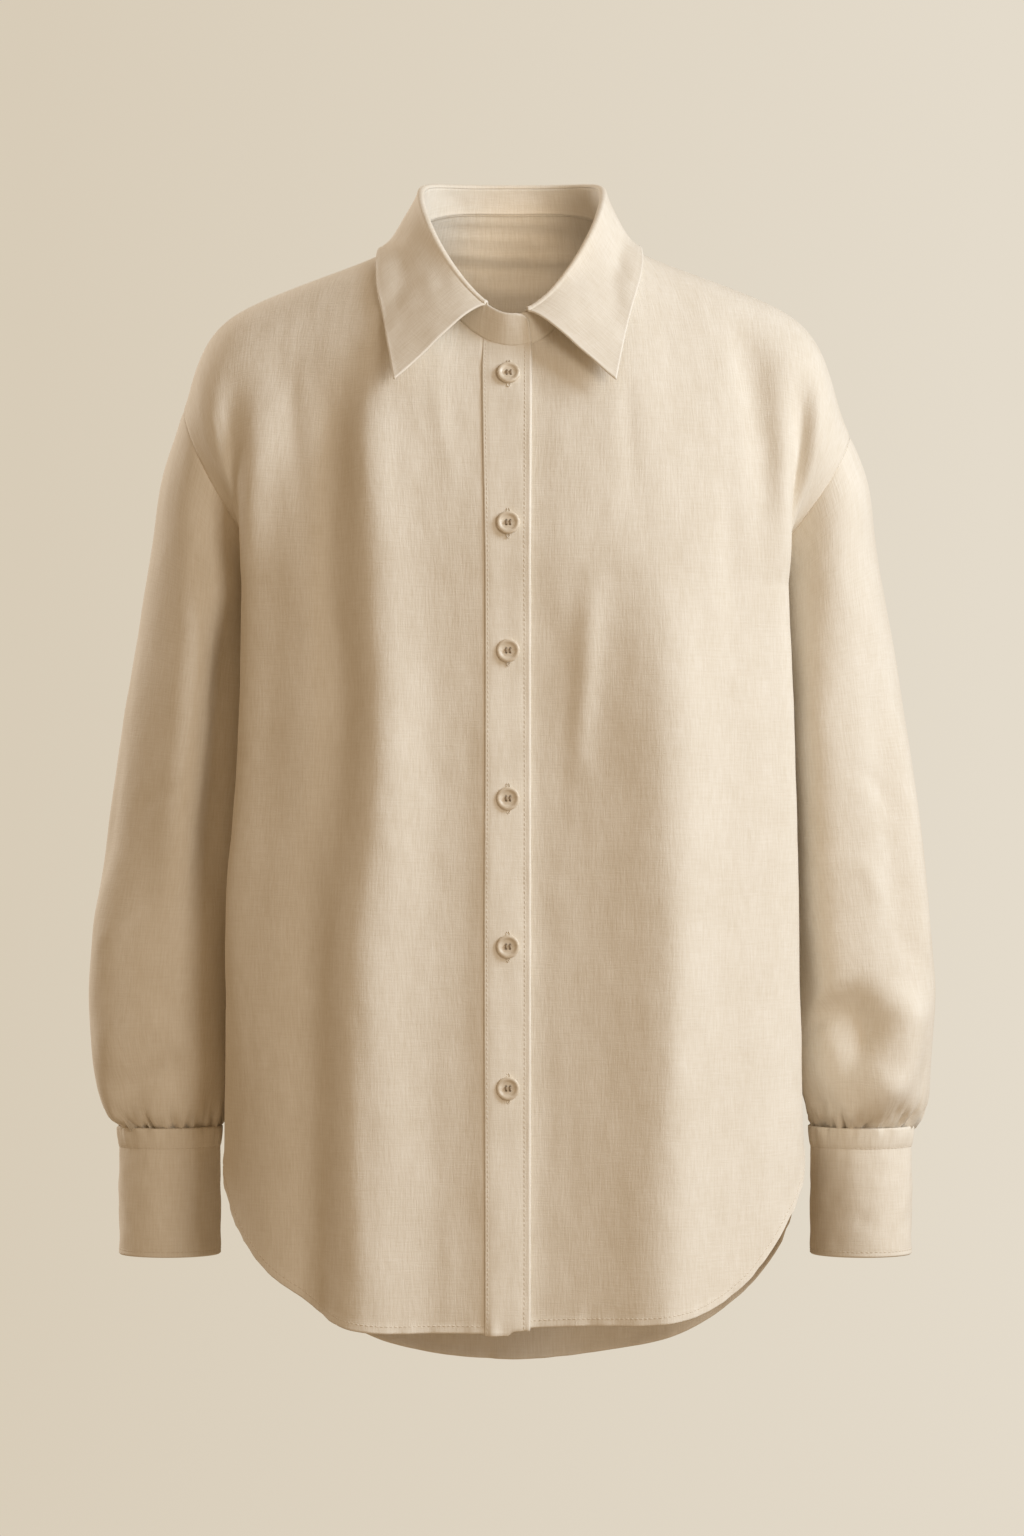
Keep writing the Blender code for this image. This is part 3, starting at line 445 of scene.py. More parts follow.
def matrix_facing(place: Array | tuple, out: Array) -> Matrix:
    """Puts an object at a place with its own Z outward and its own Y up.

    Args:
        place: The place.
        out: The way out, of length 1.

    Returns:
        The object's matrix.
    """
    matrix = np.eye(4)
    matrix[:3] = np.stack([*side_and_up(out), out, place], axis=1)
    return Matrix(matrix.tolist())


@dataclass
class Shell:
    """A thin closed wall round a grid of middle points, with rounded free edges."""

    name: str
    laid: Laid
    half_wall: Array
    # Strength of the painted highlight at each point, along the free edges
    edge: Array
    free: tuple = tuple(Edge)
    roundness: float = 0.9

    def build(self, finish: Material) -> Object:
        """Makes the wall as a mesh object.

        Args:
            finish: Its material.

        Returns:
            The object, with the laid-out places and the painted edge highlight as attributes.
        """
        points = self.laid.points
        facing = self.laid.outward()
        rows, columns = points.shape[:2]
        wall = self.half_wall[..., None]
        count = rows * columns
        number = np.arange(count).reshape(rows, columns)
        ring = self._border(number)
        rim = points.reshape(-1, 3)[ring] + self._rim_step().reshape(-1, 3)[ring]
        places = np.concatenate([
            (points + facing * wall).reshape(-1, 3), (points - facing * wall).reshape(-1, 3), rim
        ])
        quads = np.stack([
            number[:-1, :-1], number[:-1, 1:], number[1:, 1:], number[1:, :-1]
        ], axis=-1).reshape(-1, 4)
        after = np.roll(ring, -1)
        rim_at = 2 * count + np.arange(len(ring))
        rim_after = np.roll(rim_at, -1)
        sides = np.concatenate([
            np.stack([after, ring, rim_at, rim_after], axis=-1),
            np.stack([rim_after, rim_at, ring + count, after + count], axis=-1),
        ])
        faces = np.concatenate([quads, quads[:, ::-1] + count, sides])
        if (normals(points) * self.laid.facing).sum() < 0:
            faces = faces[:, ::-1]
        mesh = bpy.data.meshes.new(self.name)
        mesh.from_pydata(places.tolist(), [], faces.tolist())
        dress(mesh, finish)
        flat = np.stack([self.laid.across, self.laid.up, np.zeros((rows, columns))], axis=-1)
        flat = flat.reshape(-1, 3)
        edge = self.edge.reshape(-1)
        self._attribute(mesh, "laid", "FLOAT_VECTOR", "vector",
                        np.concatenate([flat, flat, flat[ring]]))
        # The painted edge highlight's strength, for the finish to read
        self._attribute(mesh, "edge", "FLOAT", "value", np.concatenate([edge, edge, edge[ring]]))
        mesh.update()
        return add_object(self.name, mesh)

    @staticmethod
    def _border(number: Array) -> Array:
        """Numbers of the border's points, once round.

        Args:
            number: The grid's numbers.

        Returns:
            The border's, in order.
        """
        return np.concatenate([
            number[0, :-1], number[:-1, -1], number[-1, :0:-1], number[:0:-1, 0]
        ])

    def _rim_step(self) -> Array:
        """How far each border point's rim lies outside it: nothing at a sewn edge.

        Returns:
            The step at each point of the grid.
        """
        points = self.laid.points
        step = np.zeros_like(points)
        for edge in self.free:
            border, inside = edge.value
            step[border] += unit(points[border] - points[inside])
        on_edge = np.linalg.norm(step, axis=-1, keepdims=True) > 0.1
        return unit(step) * on_edge * (self.half_wall[..., None] * self.roundness)

    @staticmethod
    def _attribute(mesh: Mesh, name: str, kind: str, key: str, values: Array) -> None:
        """Stores a value for each point of a mesh."""
        made = mesh.attributes.new(name, kind, "POINT")
        made.data.foreach_set(key, np.asarray(values, np.float32).ravel())


@dataclass
class BodyForm:
    """The filled-out form that the fronts, back, placket and collar are laid on."""

    rings: tuple = (
        # height, right_width, left_width, front, back, right_seam, left_seam
        (-0.236, 0.2080, 0.2150, 0.121, 0.116, 0.164, 0.166),
        (-0.350, 0.2080, 0.2170, 0.126, 0.115, 0.169, 0.171),
        (-0.480, 0.2155, 0.2180, 0.130, 0.117, 0.182, 0.184),
        (-0.620, 0.2110, 0.2150, 0.133, 0.122, 0.197, 0.199),
        (-0.800, 0.2090, 0.2120, 0.134, 0.126, 0.204, 0.206),
    )
    hems: dict = field(default_factory=lambda: {
        # arc from the middle, height
        (Face.FRONT, Side.RIGHT): (
            (0.00, -0.7445), (0.06, -0.7442), (0.12, -0.7385), (0.15, -0.7245),
            (0.18, -0.7045), (0.208, -0.6765), (0.245, -0.6385), (0.285, -0.6220)),
        (Face.FRONT, Side.LEFT): (
            (0.00, -0.7415), (0.06, -0.7390), (0.115, -0.7350), (0.147, -0.7235),
            (0.178, -0.7000), (0.206, -0.6690), (0.245, -0.6350), (0.285, -0.6220)),
        (Face.BACK, Side.RIGHT): (
            (0.00, -0.7905), (0.05, -0.7885), (0.105, -0.7780), (0.163, -0.7480),
            (0.196, -0.7200), (0.226, -0.6860), (0.258, -0.6480), (0.285, -0.6220)),
        (Face.BACK, Side.LEFT): (
            (0.00, -0.7905), (0.05, -0.7885), (0.105, -0.7800), (0.163, -0.7590),
            (0.196, -0.7310), (0.226, -0.6930), (0.258, -0.6500), (0.285, -0.6220)),
    })
    neck_loop: tuple = (
        # seam_out, seam_back, seam_up, roll_out, roll_back, roll_up
        (0.000, 0.048, 0.0290, 0.000, 0.045, 0.0462),
        (0.036, 0.043, 0.0285, 0.034, 0.040, 0.0458),
        (0.060, 0.021, 0.0210, 0.057, 0.021, 0.0440),
        (0.067, -0.006, 0.006, 0.062, -0.008, 0.033),
        (0.060, -0.036, -0.020, 0.054, -0.038, 0.006),
        (0.036, -0.062, -0.055, 0.032, -0.066, -0.031),
        (0.000, -0.075, -0.075, 0.000, -0.080, -0.0535),
    )
    shoulder_line: tuple = (
        # out, up
        (0.067, 0.006), (0.098, -0.0085), (0.134, -0.0220), (0.171, -0.0360), (0.199, -0.051),
        (0.2145, -0.070), (0.223, -0.092), (0.2295, -0.114), (0.238, -0.136),
    )
    sleeve_seam_height: dict = field(
        default_factory=lambda: {Side.RIGHT: -0.113, Side.LEFT: -0.131}
    )
    underarm: dict = field(
        default_factory=lambda: {Side.RIGHT: (0.164, -0.236), Side.LEFT: (0.166, -0.236)}
    )
    neck_half_width: float = 0.067
    squareness: float = 2.45
    side_seam_back: float = 0.013
    tuck_reach: float = 0.055
    tuck_start: float = 0.60
    corner_reach: float = 0.040
    corner_steps: int = 200
    reference_height: float = -0.420
    neck_corner_back: float = -0.006
    shoulder_back: float = 0.006
    armhole_half_depth: float = 0.062
    armhole_bow: float = 0.006
    armhole_lift: float = 0.72
    armhole_pull_from: float = 0.50
    armhole_pull_power: float = 1.2
    panel_leave: float = 0.85
    panel_arrive: float = 0.72
    top_turn_reach: float = 0.30
    side_fade: float = 0.14
    top_fade: float = 0.22
    arc_steps: int = 81
    row_step: float = 0.0040
    torso_length: float = 0.47
    armhole_length: float = 0.22

    def __post_init__(self) -> None:
        """Works out the even steps round each face and where the neck ends on them."""
        self.arcs = {face: self._arc(face) for face in Face}
        self.neck_share = self.neck_half_width * (math.pi / 2) / self.arcs[Face.FRONT][2]
        self.rise = spaced(self.torso_length, self.row_step, HEM_STEPS) / self.torso_length
        self.climb = (
            spaced(self.armhole_length, self.row_step, (), EDGE_STEPS) / self.armhole_length
        )
        self.climbed = np.concatenate([np.zeros(len(self.rise)), self.climb[1:]])[:, None]

    def _arc(self, face: Face) -> tuple[Array, Array, float]:
        """Shares of the half ring against its angles, and its length.

        Args:
            face: Front or back.

        Returns:
            The shares, the angles, and the length in metres.
        """
        angle = np.linspace(0.0, math.pi / 2, self.arc_steps)
        height = np.full(self.arc_steps, self.reference_height)
        distance = along(self.torso_point(angle, height, face, Side.RIGHT))
        return distance / distance[-1], angle, float(distance[-1])

    def arc(self, face: Face) -> float:
        """Length of half the ring, from the middle of a face to its side seam."""
        return self.arcs[face][2]

    def torso_sizes(self, height: Array, side: Side) -> tuple[Array, Array, Array, Array]:
        """Half width, front and back depth, and side seam at each height.

        Args:
            height: The heights.
            side: The wearer's side, whose widths are used.

        Returns:
            The four sizes, in that order.
        """
        table = np.array(self.rings)[::-1]
        sizes = np.moveaxis(spline(table[:, 0], table[:, 1:], height), -1, 0)
        first = 0 if side is Side.RIGHT else 1
        return sizes[first], sizes[2], sizes[3], sizes[4 + first]

    def torso_point(self, angle: Array, height: Array, face: Face, side: Side) -> Array:
        """Point of a torso ring.

        Args:
            angle: Angle from the middle of the face round to the side seam.
            height: Height of each point.
            face: Front or back.
            side: The wearer's side, whose widths are used.

        Returns:
            The points, out, back and up.
        """
        half_width, front, back, seam = self.torso_sizes(height, side)
        power = 2.0 / self.squareness
        reach = front + self.side_seam_back if face is Face.FRONT else back - self.side_seam_back
        from_seam = reach * np.cos(angle).clip(0) ** power
        out = half_width * np.sin(angle).clip(0) ** power
        tuck = ease(angle / self.tuck_start) * np.exp(-((from_seam / self.tuck_reach) ** 2))
        out = out - (half_width - seam) * tuck
        return np.stack([out, self.side_seam_back + face.outward * from_seam, height], axis=-1)

    def neck_point(self, share: Array, roll: bool) -> Array:
        """Point on half the neck's seam, or on the roll above it.

        Args:
            share: 0 at centre back, 1 at centre front.
            roll: True for the collar's roll.

        Returns:
            The points, out, back and up.
        """
        table = np.array(self.neck_loop)
        columns = table[:, 3:] if roll else table[:, :3]
        mirrored = columns * Side.RIGHT.flip
        whole = np.concatenate([mirrored[2:0:-1], columns, mirrored[-2:-4:-1]])
        knots = (np.arange(len(whole)) - 2) / (len(columns) - 1)
        return spline(knots, whole, share)

    def neck_round(self, shares: Array, roll: bool) -> Array:
        """Points round the neck: 0 centre back, 1 centre front by the right, -1 by the left.

        Args:
            shares: Places round the neck, which may run on past 1 and -1.
            roll: True for the collar's roll.

        Returns:
            The points, out, back and up.
        """
        inside = np.where(np.abs(shares) > 1, 2 - np.abs(shares), np.abs(shares))
        points = self.neck_point(inside, roll)
        on_right = np.where(np.abs(shares) > 1, shares < 0, shares > 0)
        points[:, 0] *= np.where(on_right, -1.0, 1.0)
        return points

    def shoulder_point(self, share: Array, side: Side) -> Array:
        """Point on the shoulder seam, from the neck hole to the dropped sleeve seam.

        Args:
            share: 0 at the neck, 1 at the sleeve.
            side: The wearer's side, whose sleeve seam ends it.

        Returns:
            The points, out, back and up.
        """
        table = np.array(self.shoulder_line)
        places = np.linspace(0, len(table) - 1, 20 * self.arc_steps)
        dense = spline(np.arange(len(table)), table, places)
        dense = dense[dense[:, 1] >= self.sleeve_seam_height[side]]
        place = along(dense)
        place = place / place[-1]
        out = np.interp(share, place, dense[:, 0])
        up = np.interp(share, place, dense[:, 1])
        back = self.neck_corner_back + (self.shoulder_back - self.neck_corner_back) * share
        return np.stack([out, back, up], axis=-1)

    def armhole_row(self, side: Side) -> tuple:
        """The armhole as the first row of the sleeve's ring table.

        Args:
            side: The wearer's side.

        Returns:
            The row, as ring_point reads it.
        """
        tip = self.shoulder_point(np.array([1.0]), side)[0]
        return (tip[0], tip[2], *self.underarm[side], self.side_seam_back,
                self.armhole_half_depth, self.armhole_bow, self.armhole_lift)

    def hem_height(self, share: Array, face: Face, side: Side) -> Array:
        """Height of the hem along a half panel."""
        table = np.array(self.hems[face, side])
        return spline(table[:, 0] / table[-1, 0], table[:, 1], share)

    def top_direction(self, share: Array, face: Face) -> Array:
        """Direction in which a column of a half panel crosses its neck or shoulder edge.

        Args:
            share: Shares of the half ring.
            face: Front or back.

        Returns:
            The direction of each column.
        """
        sign = -face.outward
        middle = np.array([0.0, 0.50 * sign, 0.86])
        corner = np.array([-0.60, 0.75 * sign, 0.22])
        seam = np.array([0.0, 1.0 * sign, 0.0])
        to_corner = ease(share / self.neck_share)[..., None]
        to_seam = ease((share - self.neck_share) / self.top_turn_reach)[..., None]
        direction = middle + (corner - middle) * to_corner
        return unit(direction + (seam - direction) * to_seam)

    def top_edge(self, share: Array, side: Side, face: Face) -> Array:
        """The neck edge and, beyond the neck's corner, the shoulder seam of a half panel.

        Args:
            share: Shares of the half ring.
            side: The wearer's side.
            face: Front or back.

        Returns:
            The edge's points.
        """
        turn = 0.5 * share / self.neck_share
        if face is Face.FRONT:
            turn = 1 - turn
        at = (share - self.neck_share) / (1 - self.neck_share)
        on_neck = (share < self.neck_share)[:, None]
        return np.where(on_neck, self.neck_point(turn, False), self.shoulder_point(at, side))

    def rounded_top(self, share: Array, side: Side, face: Face) -> Array:
        """The top edge with its corner rounded off, which the cloth below it follows.

        Args:
            share: Shares of the half ring.
            side: The wearer's side.
            face: Front or back.

        Returns:
            The rounded edge's points.
        """
        even = np.linspace(0, 1, self.corner_steps + 1)
        top = self.top_edge(even, side, face)
        reach = int(3 * self.corner_reach * self.corner_steps)
        before = top[reach:0:-1] * Side.RIGHT.flip
        after = 2 * top[-1] - top[-2 : -2 - reach : -1]
        whole = np.concatenate([before, top, after])
        spread = np.arange(-reach, reach + 1) / (self.corner_reach * self.corner_steps)
        weight = np.exp(-(spread**2) / 2)
        weight = weight / weight.sum()
        soft = [np.convolve(whole[:, axis], weight, "valid") for axis in range(3)]
        return np.stack([np.interp(share, even, line) for line in soft], axis=-1)

    def half_panel(self, share: Array, side: Side, face: Face) -> tuple[Array, Array, Array]:
        """Half a front or back, over shares from its middle that end at the side seam.

        Args:
            share: Shares of the half ring, in order, the last of them 1.
            side: The wearer's side.
            face: Front or back.

        Returns:
            The grid of points, rows from the hem up, each column's hem, and its upper length.
        """
        angle = np.interp(share, *self.arcs[face][:2])
        hem = self.hem_height(share, face, side)
        heights = hem + (self.underarm[side][1] - hem) * self.rise[:, None]
        lower = self.torso_point(np.broadcast_to(angle, heights.shape), heights, face, side)
        top = self.top_edge(share, side, face)
        rounded = self.rounded_top(share, side, face)
        bottom = lower[-1]
        span = np.linalg.norm(rounded - bottom, axis=1)[:, None]
        leave = UP * span * self.panel_leave
        arrive = self.top_direction(share, face) * span * self.panel_arrive
        t = self.climb[:, None, None]
        upper = hermite(bottom, leave, rounded, arrive, t) + (top - rounded) * t**6
        turns = 0.5 * (1 - self.climb) * -face.outward
        edge = ring_point(np.array(self.armhole_row(side)), turns)
        pull = ease((share - self.armhole_pull_from) / (1 - self.armhole_pull_from))
        pull = (pull**self.armhole_pull_power)[None, :, None]
        upper = upper + pull * (edge - upper[:, -1])[:, None]
        return np.concatenate([lower, upper[1:]]), hem, span[:, 0]

    def lay(self, across: Array, face: Face) -> Laid:
        """Lays cloth on a face of the body, before its folds.

        Args:
            across: Places from the middle, negative to the wearer's right.
            face: Front or back.

        Returns:
            The cloth, rows from the hem up and columns from right to left.
        """
        arc = self.arc(face)
        shares = across / arc
        parts = []
        for side in Side:
            mine = shares <= 0 if side is Side.RIGHT else shares > 0
            if not mine.any():
                continue
            out = np.abs(shares[mine])
            order = np.argsort(out)
            grid, hem, span = self.half_panel(np.append(out[order], 1.0), side, face)
            back = np.argsort(order)
            grid = grid[:, :-1][:, back] * side.flip
            parts.append((grid, hem[:-1][back], span[:-1][back]))
        points = np.concatenate([part[0] for part in parts], axis=1)
        hem = np.concatenate([part[1] for part in parts])
        span = np.concatenate([part[2] for part in parts])
        facing = normals(points)
        middle = facing[len(facing) // 3, points.shape[1] // 2, 1]
        facing = facing if middle * face.outward > 0 else -facing
        slope = np.gradient(hem, across)
        from_hem = (points[..., 2] - hem) / np.sqrt(1 + slope**2)
        from_hem[len(self.rise) :] = FAR
        from_top = (1 - self.climbed) * span + (self.climbed == 0) * FAR
        from_seam = np.minimum(arc - np.abs(across), from_top)
        steps = np.linalg.norm(np.diff(points[len(self.rise) - 1 :], axis=0), axis=2)
        lower = points[: len(self.rise), :, 2]
        up = np.concatenate([lower, lower[-1] + np.cumsum(steps, axis=0)])
        return Laid(points, facing, across, up, from_seam, from_hem)

    def fade(self, laid: Laid, face: Face) -> Array:
        """0 on the seams and 1 well away from them, for the large folds."""
        side = ease((1 - np.abs(laid.across) / self.arc(face)) / self.side_fade)
        return side * ease((1 - self.climbed) / self.top_fade)


def ring_point(row: Array, turn: Array) -> Array:
    """Point of a sleeve ring.

    Args:
        row: Outer, inner, middle, depth, bow and lift of the ring, in its last axis.
        turn: 0 on the outer line, a quarter at the front.

    Returns:
        The points, out, back and up.
    """
    sizes = np.moveaxis(np.asarray(row, float), -1, 0)
    outer_out, outer_up, inner_out, inner_up, middle, depth, bow, lift = sizes
    angle = 2 * math.pi * turn
    rise = ((1 + np.cos(angle)) / 2).clip(0, 1) ** lift
    out = inner_out + (outer_out - inner_out) * rise + bow * np.sin(angle) ** 2
    up = inner_up + (outer_up - inner_up) * rise
    return np.stack(np.broadcast_arrays(out, middle - depth * np.sin(angle), up), axis=-1)


class Nodes:
    """A material's node tree, written as calls."""

    def __init__(self, name: str) -> None:
        """Makes the material with its shader and output.

        Args:
            name: The material's name.
        """
        self.material = bpy.data.materials.new(name)
        self.material.use_nodes = True
        self.tree = self.material.node_tree
        self.shader = self.tree.nodes["Principled BSDF"]

    def add(self, kind: str, *inputs: object, **values: object) -> Node:
        """Adds a node. A socket given as a value is linked.

        Args:
            kind: Its type, after the word ShaderNode.
            *inputs: Its first inputs, in order.
            **values: Properties of the node, or its inputs by name with _ for a space.

        Returns:
            The node.
        """
        node = self.tree.nodes.new("ShaderNode" + kind)
        for key, value in values.items():
            if hasattr(node, key):
                setattr(node, key, value)
        for number, value in enumerate(inputs):
            self.put(node, number, value)
        for key, value in values.items():
            if not hasattr(node, key):
                self.put(node, key.replace("_", " "), value)
        return node

    def put(self, node: Node, key: str | int, value: object) -> None:
        """Sets one input of a node, or links a socket to it.

        Args:
            node: The node.
            key: The input's name or number.
            value: What it is set to, or the socket.
        """
        if isinstance(value, Socket):
            self.tree.links.new(value, node.inputs[key])
        else:
            node.inputs[key].default_value = value

    def shade(self, **values: object) -> None:
        """Sets inputs of the shader, by name with _ for a space."""
        for key, value in values.items():
            self.put(self.shader, key.replace("_", " "), value)

    def place(self) -> Socket:
        """The place on the piece, in metres from its origin."""
        return self.add("TexCoord").outputs["Object"]

    def maths(self, how: str, *values: object) -> Socket:
        """A sum, product or other function of numbers."""
        return self.add("Math", *values, operation=how).outputs[0]

    def times_plus(self, value: Socket, times: float, plus: float) -> Socket:
        """A number multiplied, with another added to it."""
        return self.maths("ADD", plus, self.maths("MULTIPLY", value, times))

    def shared(self, first: Socket, share: float, second: Socket) -> Socket:
        """Two numbers added up, the first by its share and the second by the rest."""
        return self.maths("ADD", self.maths("MULTIPLY", first, share),
                          self.maths("MULTIPLY", second, 1 - share))

    def stretched(self, vector: Socket, x: float, y: float) -> Socket:
        """A vector with its two places multiplied."""
        return self.add("VectorMath", vector, (x, y, 1.0), operation="MULTIPLY").outputs[0]

    def noise(self, vector: Socket, detail: float = 2.0) -> Socket:
        """Even noise from 0 to 1, with a middle of a half."""
        node = self.add("TexNoise", Vector=vector, Scale=1.0, Detail=detail, Roughness=0.55)
        return node.outputs["Fac"]

    def mixed(self, share: object, first: object, second: object) -> Socket:
        """A colour between two colours.

        Args:
            share: How much of the second, from 0 to 1.
            first: The first colour.
            second: The second colour.

        Returns:
            The colour's socket.
        """
        node = self.add("Mix", data_type="RGBA")
        self.put(node, 0, share)
        self.put(node, 6, first)
        self.put(node, 7, second)
        return node.outputs[2]

    def spread(self, value: Socket, low: float, high: float) -> Socket:
        """A number from 0 at one value to 1 at another."""
        return self.add("MapRange", value, low, high).outputs[0]


@dataclass(frozen=True)
class LinenFinish:
    """Plain-woven linen: threads, slubs in both directions, soft mottling, painted edge
    highlight.
    """

    name: str
    light: tuple = (0.890, 0.835, 0.745, 1.0)
    dark: tuple = (0.790, 0.720, 0.610, 1.0)
    # Painted highlight: the paler colour mixed in along the edges, where they would catch the
    # light
    pale: tuple = (0.930, 0.890, 0.820, 1.0)
    thread: float = 0.00062
    slub_width: float = 0.0013
    slub_length: float = 0.015
    slub_detail: float = 3.0
    upright_share: float = 0.66
    slub_share: float = 0.72
    mottle_scale: tuple = (34.0, 21.0)
    rumple_scale: tuple = (150.0, 90.0)
    tint_range: tuple = (0.37, 0.65)
    edge_highlight_share: float = 0.55
    weave_depth: float = 0.00016
    slub_depth: float = 0.00032
    rumple_depth: float = 0.00016

    def make(self) -> Material:
        """Builds the material.

        Returns:
            The material, which reads the cloth's laid-out places.
        """
        nodes = Nodes(self.name)
        laid = nodes.add("Attribute", attribute_name="laid").outputs["Vector"]
        # The edge attribute holds the strength of the painted highlight along free edges
        edge = nodes.add("Attribute", attribute_name="edge").outputs["Fac"]
        thin, long = 1 / self.slub_width, 1 / self.slub_length
        upright = nodes.noise(nodes.stretched(laid, thin, long), self.slub_detail)
        level = nodes.noise(nodes.stretched(laid, 0.8 * long, thin), self.slub_detail)
        mottle = nodes.noise(nodes.stretched(laid, *self.mottle_scale), self.slub_detail)
        cloud = nodes.noise(nodes.stretched(laid, *self.rumple_scale))
        slubs = nodes.shared(upright, self.upright_share, level)
        tint = nodes.shared(slubs, self.slub_share, mottle)
        colour = nodes.mixed(nodes.spread(tint, *self.tint_range), self.dark, self.light)
        # Painted highlight: the colour turns paler along the free edges
        colour = nodes.mixed(nodes.maths("MULTIPLY", edge, self.edge_highlight_share), colour, self.pale)
        weave = nodes.add("Bump", Strength=1.0, Distance=self.weave_depth,
                          Height=self._threads(nodes, laid))
        slub = nodes.add("Bump", Strength=1.0, Distance=self.slub_depth, Height=slubs,
                         Normal=weave.outputs[0])
        rumple = nodes.add("Bump", Strength=1.0, Distance=self.rumple_depth, Height=cloud,
                           Normal=slub.outputs[0])
        nodes.shade(Base_Color=colour, Normal=rumple.outputs[0],
                    Roughness=nodes.times_plus(slubs, 0.12, 0.84), Specular_IOR_Level=0.22,
                    Sheen_Weight=0.12, Sheen_Roughness=0.45, Sheen_Tint=(1.0, 0.93, 0.82, 1.0))
        return nodes.material

    def _threads(self, nodes: Nodes, laid: Socket) -> Socket:
        """Height of the crossing threads, each as uneven as spun flax.

        Args:
            nodes: The material's nodes.
            laid: The laid-out places.

        Returns:
            The height's socket.
        """
        thin, long = 1 / self.thread, 1 / (9 * self.thread)
        warp = nodes.noise(nodes.stretched(laid, thin, long), 1.0)
        weft = nodes.noise(nodes.stretched(laid, long, thin), 1.0)
        return nodes.maths("MAXIMUM", warp, weft)


@dataclass(frozen=True)
class ThreadFinish:
    """Sewing thread, a shade off the cloth, with its twist as a fine bump."""

    name: str = "sewing_thread"
    light: tuple = (0.88, 0.82, 0.72, 1.0)
    dark: tuple = (0.70, 0.61, 0.49, 1.0)
    twist_scale: tuple = (5200.0, 5200.0)

    def make(self) -> Material:
        """Builds the material.

        Returns:
            The material.
        """
        nodes = Nodes(self.name)
        strand = nodes.noise(nodes.stretched(nodes.place(), *self.twist_scale))
        bump = nodes.add("Bump", Strength=0.7, Distance=0.0001, Height=strand)
        nodes.shade(Base_Color=nodes.mixed(strand, self.dark, self.light),
                    Normal=bump.outputs[0], Roughness=0.7, Sheen_Weight=0.2)
        return nodes.material


@dataclass(frozen=True)
class ButtonFinish:
    """Satin, shell-like buttons with faint clouds and a soft gloss."""

    name: str = "button_shell"
    light: tuple = (0.83, 0.75, 0.63, 1.0)
    dark: tuple = (0.68, 0.58, 0.45, 1.0)
    cloud_scale: tuple = (160.0, 420.0)
    grain_scale: tuple = (2600.0, 2600.0)

    def make(self) -> Material:
        """Builds the material.

        Returns:
            The material.
        """
        nodes = Nodes(self.name)
        place = nodes.place()
        cloud = nodes.noise(nodes.stretched(place, *self.cloud_scale), 4.0)
        grain = nodes.noise(nodes.stretched(place, *self.grain_scale))
        bump = nodes.add("Bump", Strength=0.4, Distance=0.00006, Height=grain)
        nodes.shade(Base_Color=nodes.mixed(nodes.spread(cloud, 0.3, 0.7), self.dark, self.light),
                    Normal=bump.outputs[0], Roughness=nodes.times_plus(grain, 0.16, 0.30),
                    Coat_Weight=0.15, Coat_Roughness=0.25)
        return nodes.material


@dataclass(frozen=True)
class BackdropFinish:
    """A plain pale sweep, glowing a touch darker to the camera's left as painted shade."""

    name: str = "backdrop"
    # Painted shade: the glow is darker at the left, as if less lit there, and paler at the right
    left: tuple = (0.686, 0.604, 0.479, 1.0)
    right: tuple = (0.776, 0.708, 0.597, 1.0)
    reach: float = 1.15

    def make(self) -> Material:
        """Builds the material.

        Returns:
            The material, which glows with its painted shade and so shows no light of its own.
        """
        nodes = Nodes(self.name)
        x = nodes.add("SeparateXYZ", nodes.place()).outputs[0]
        colour = nodes.mixed(nodes.spread(x, -self.reach, self.reach), self.left, self.right)
        glow = nodes.add("Emission", Strength=1.0, Color=colour)
        output = nodes.tree.nodes["Material Output"]
        nodes.put(output, "Surface", glow.outputs[0])
        nodes.tree.nodes.remove(nodes.shader)
        nodes.material.cycles.emission_sampling = "NONE"
        return nodes.material


@dataclass
class Wardrobe:
    """The finishes that the pieces share."""

    body: Material
    pressed: Material
    thread: Material
    button_thread: Material
    shell: Material

    @classmethod
    def make(cls) -> Wardrobe:
        """Builds each finish once.

        Returns:
            The finishes.
        """
        return cls(
            body=LinenFinish("linen").make(),
            pressed=LinenFinish("linen_pressed", rumple_depth=0.00010, slub_depth=0.00014).make(),
            thread=ThreadFinish().make(),
            button_thread=ThreadFinish("button_thread", light=(0.46, 0.36, 0.25, 1.0),
                                       dark=(0.26, 0.18, 0.11, 1.0)).make(),
            shell=ButtonFinish().make(),
        )


def place_piece(piece: Object, slot: str, *nodes: str) -> Object:
    """Rides a piece on the shirt and hides the solids that it stands for.

    Args:
        piece: The piece.
        slot: Not used.
        *nodes: Names of the solids.

    Returns:
        The piece.
    """
    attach(piece, "root")
    if nodes:
        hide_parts(*nodes)
    LOG.info("%s: %d faces", piece.name, len(piece.data.polygons))
    return piece


def seam_puff(distance: Array, height: float = 0.00050, width: float = 0.0026) -> Array:
    """Cloth that swells beside a seam, so that the seam itself lies in a groove."""
    x = np.maximum(distance, 0.0) / width
    return height * x * np.exp(1 - x)


def groove(distance: Array, width: float = 0.0008) -> Array:
    """1 on a line of stitches and 0 away from it."""
    return np.exp(-((distance / width) ** 2))


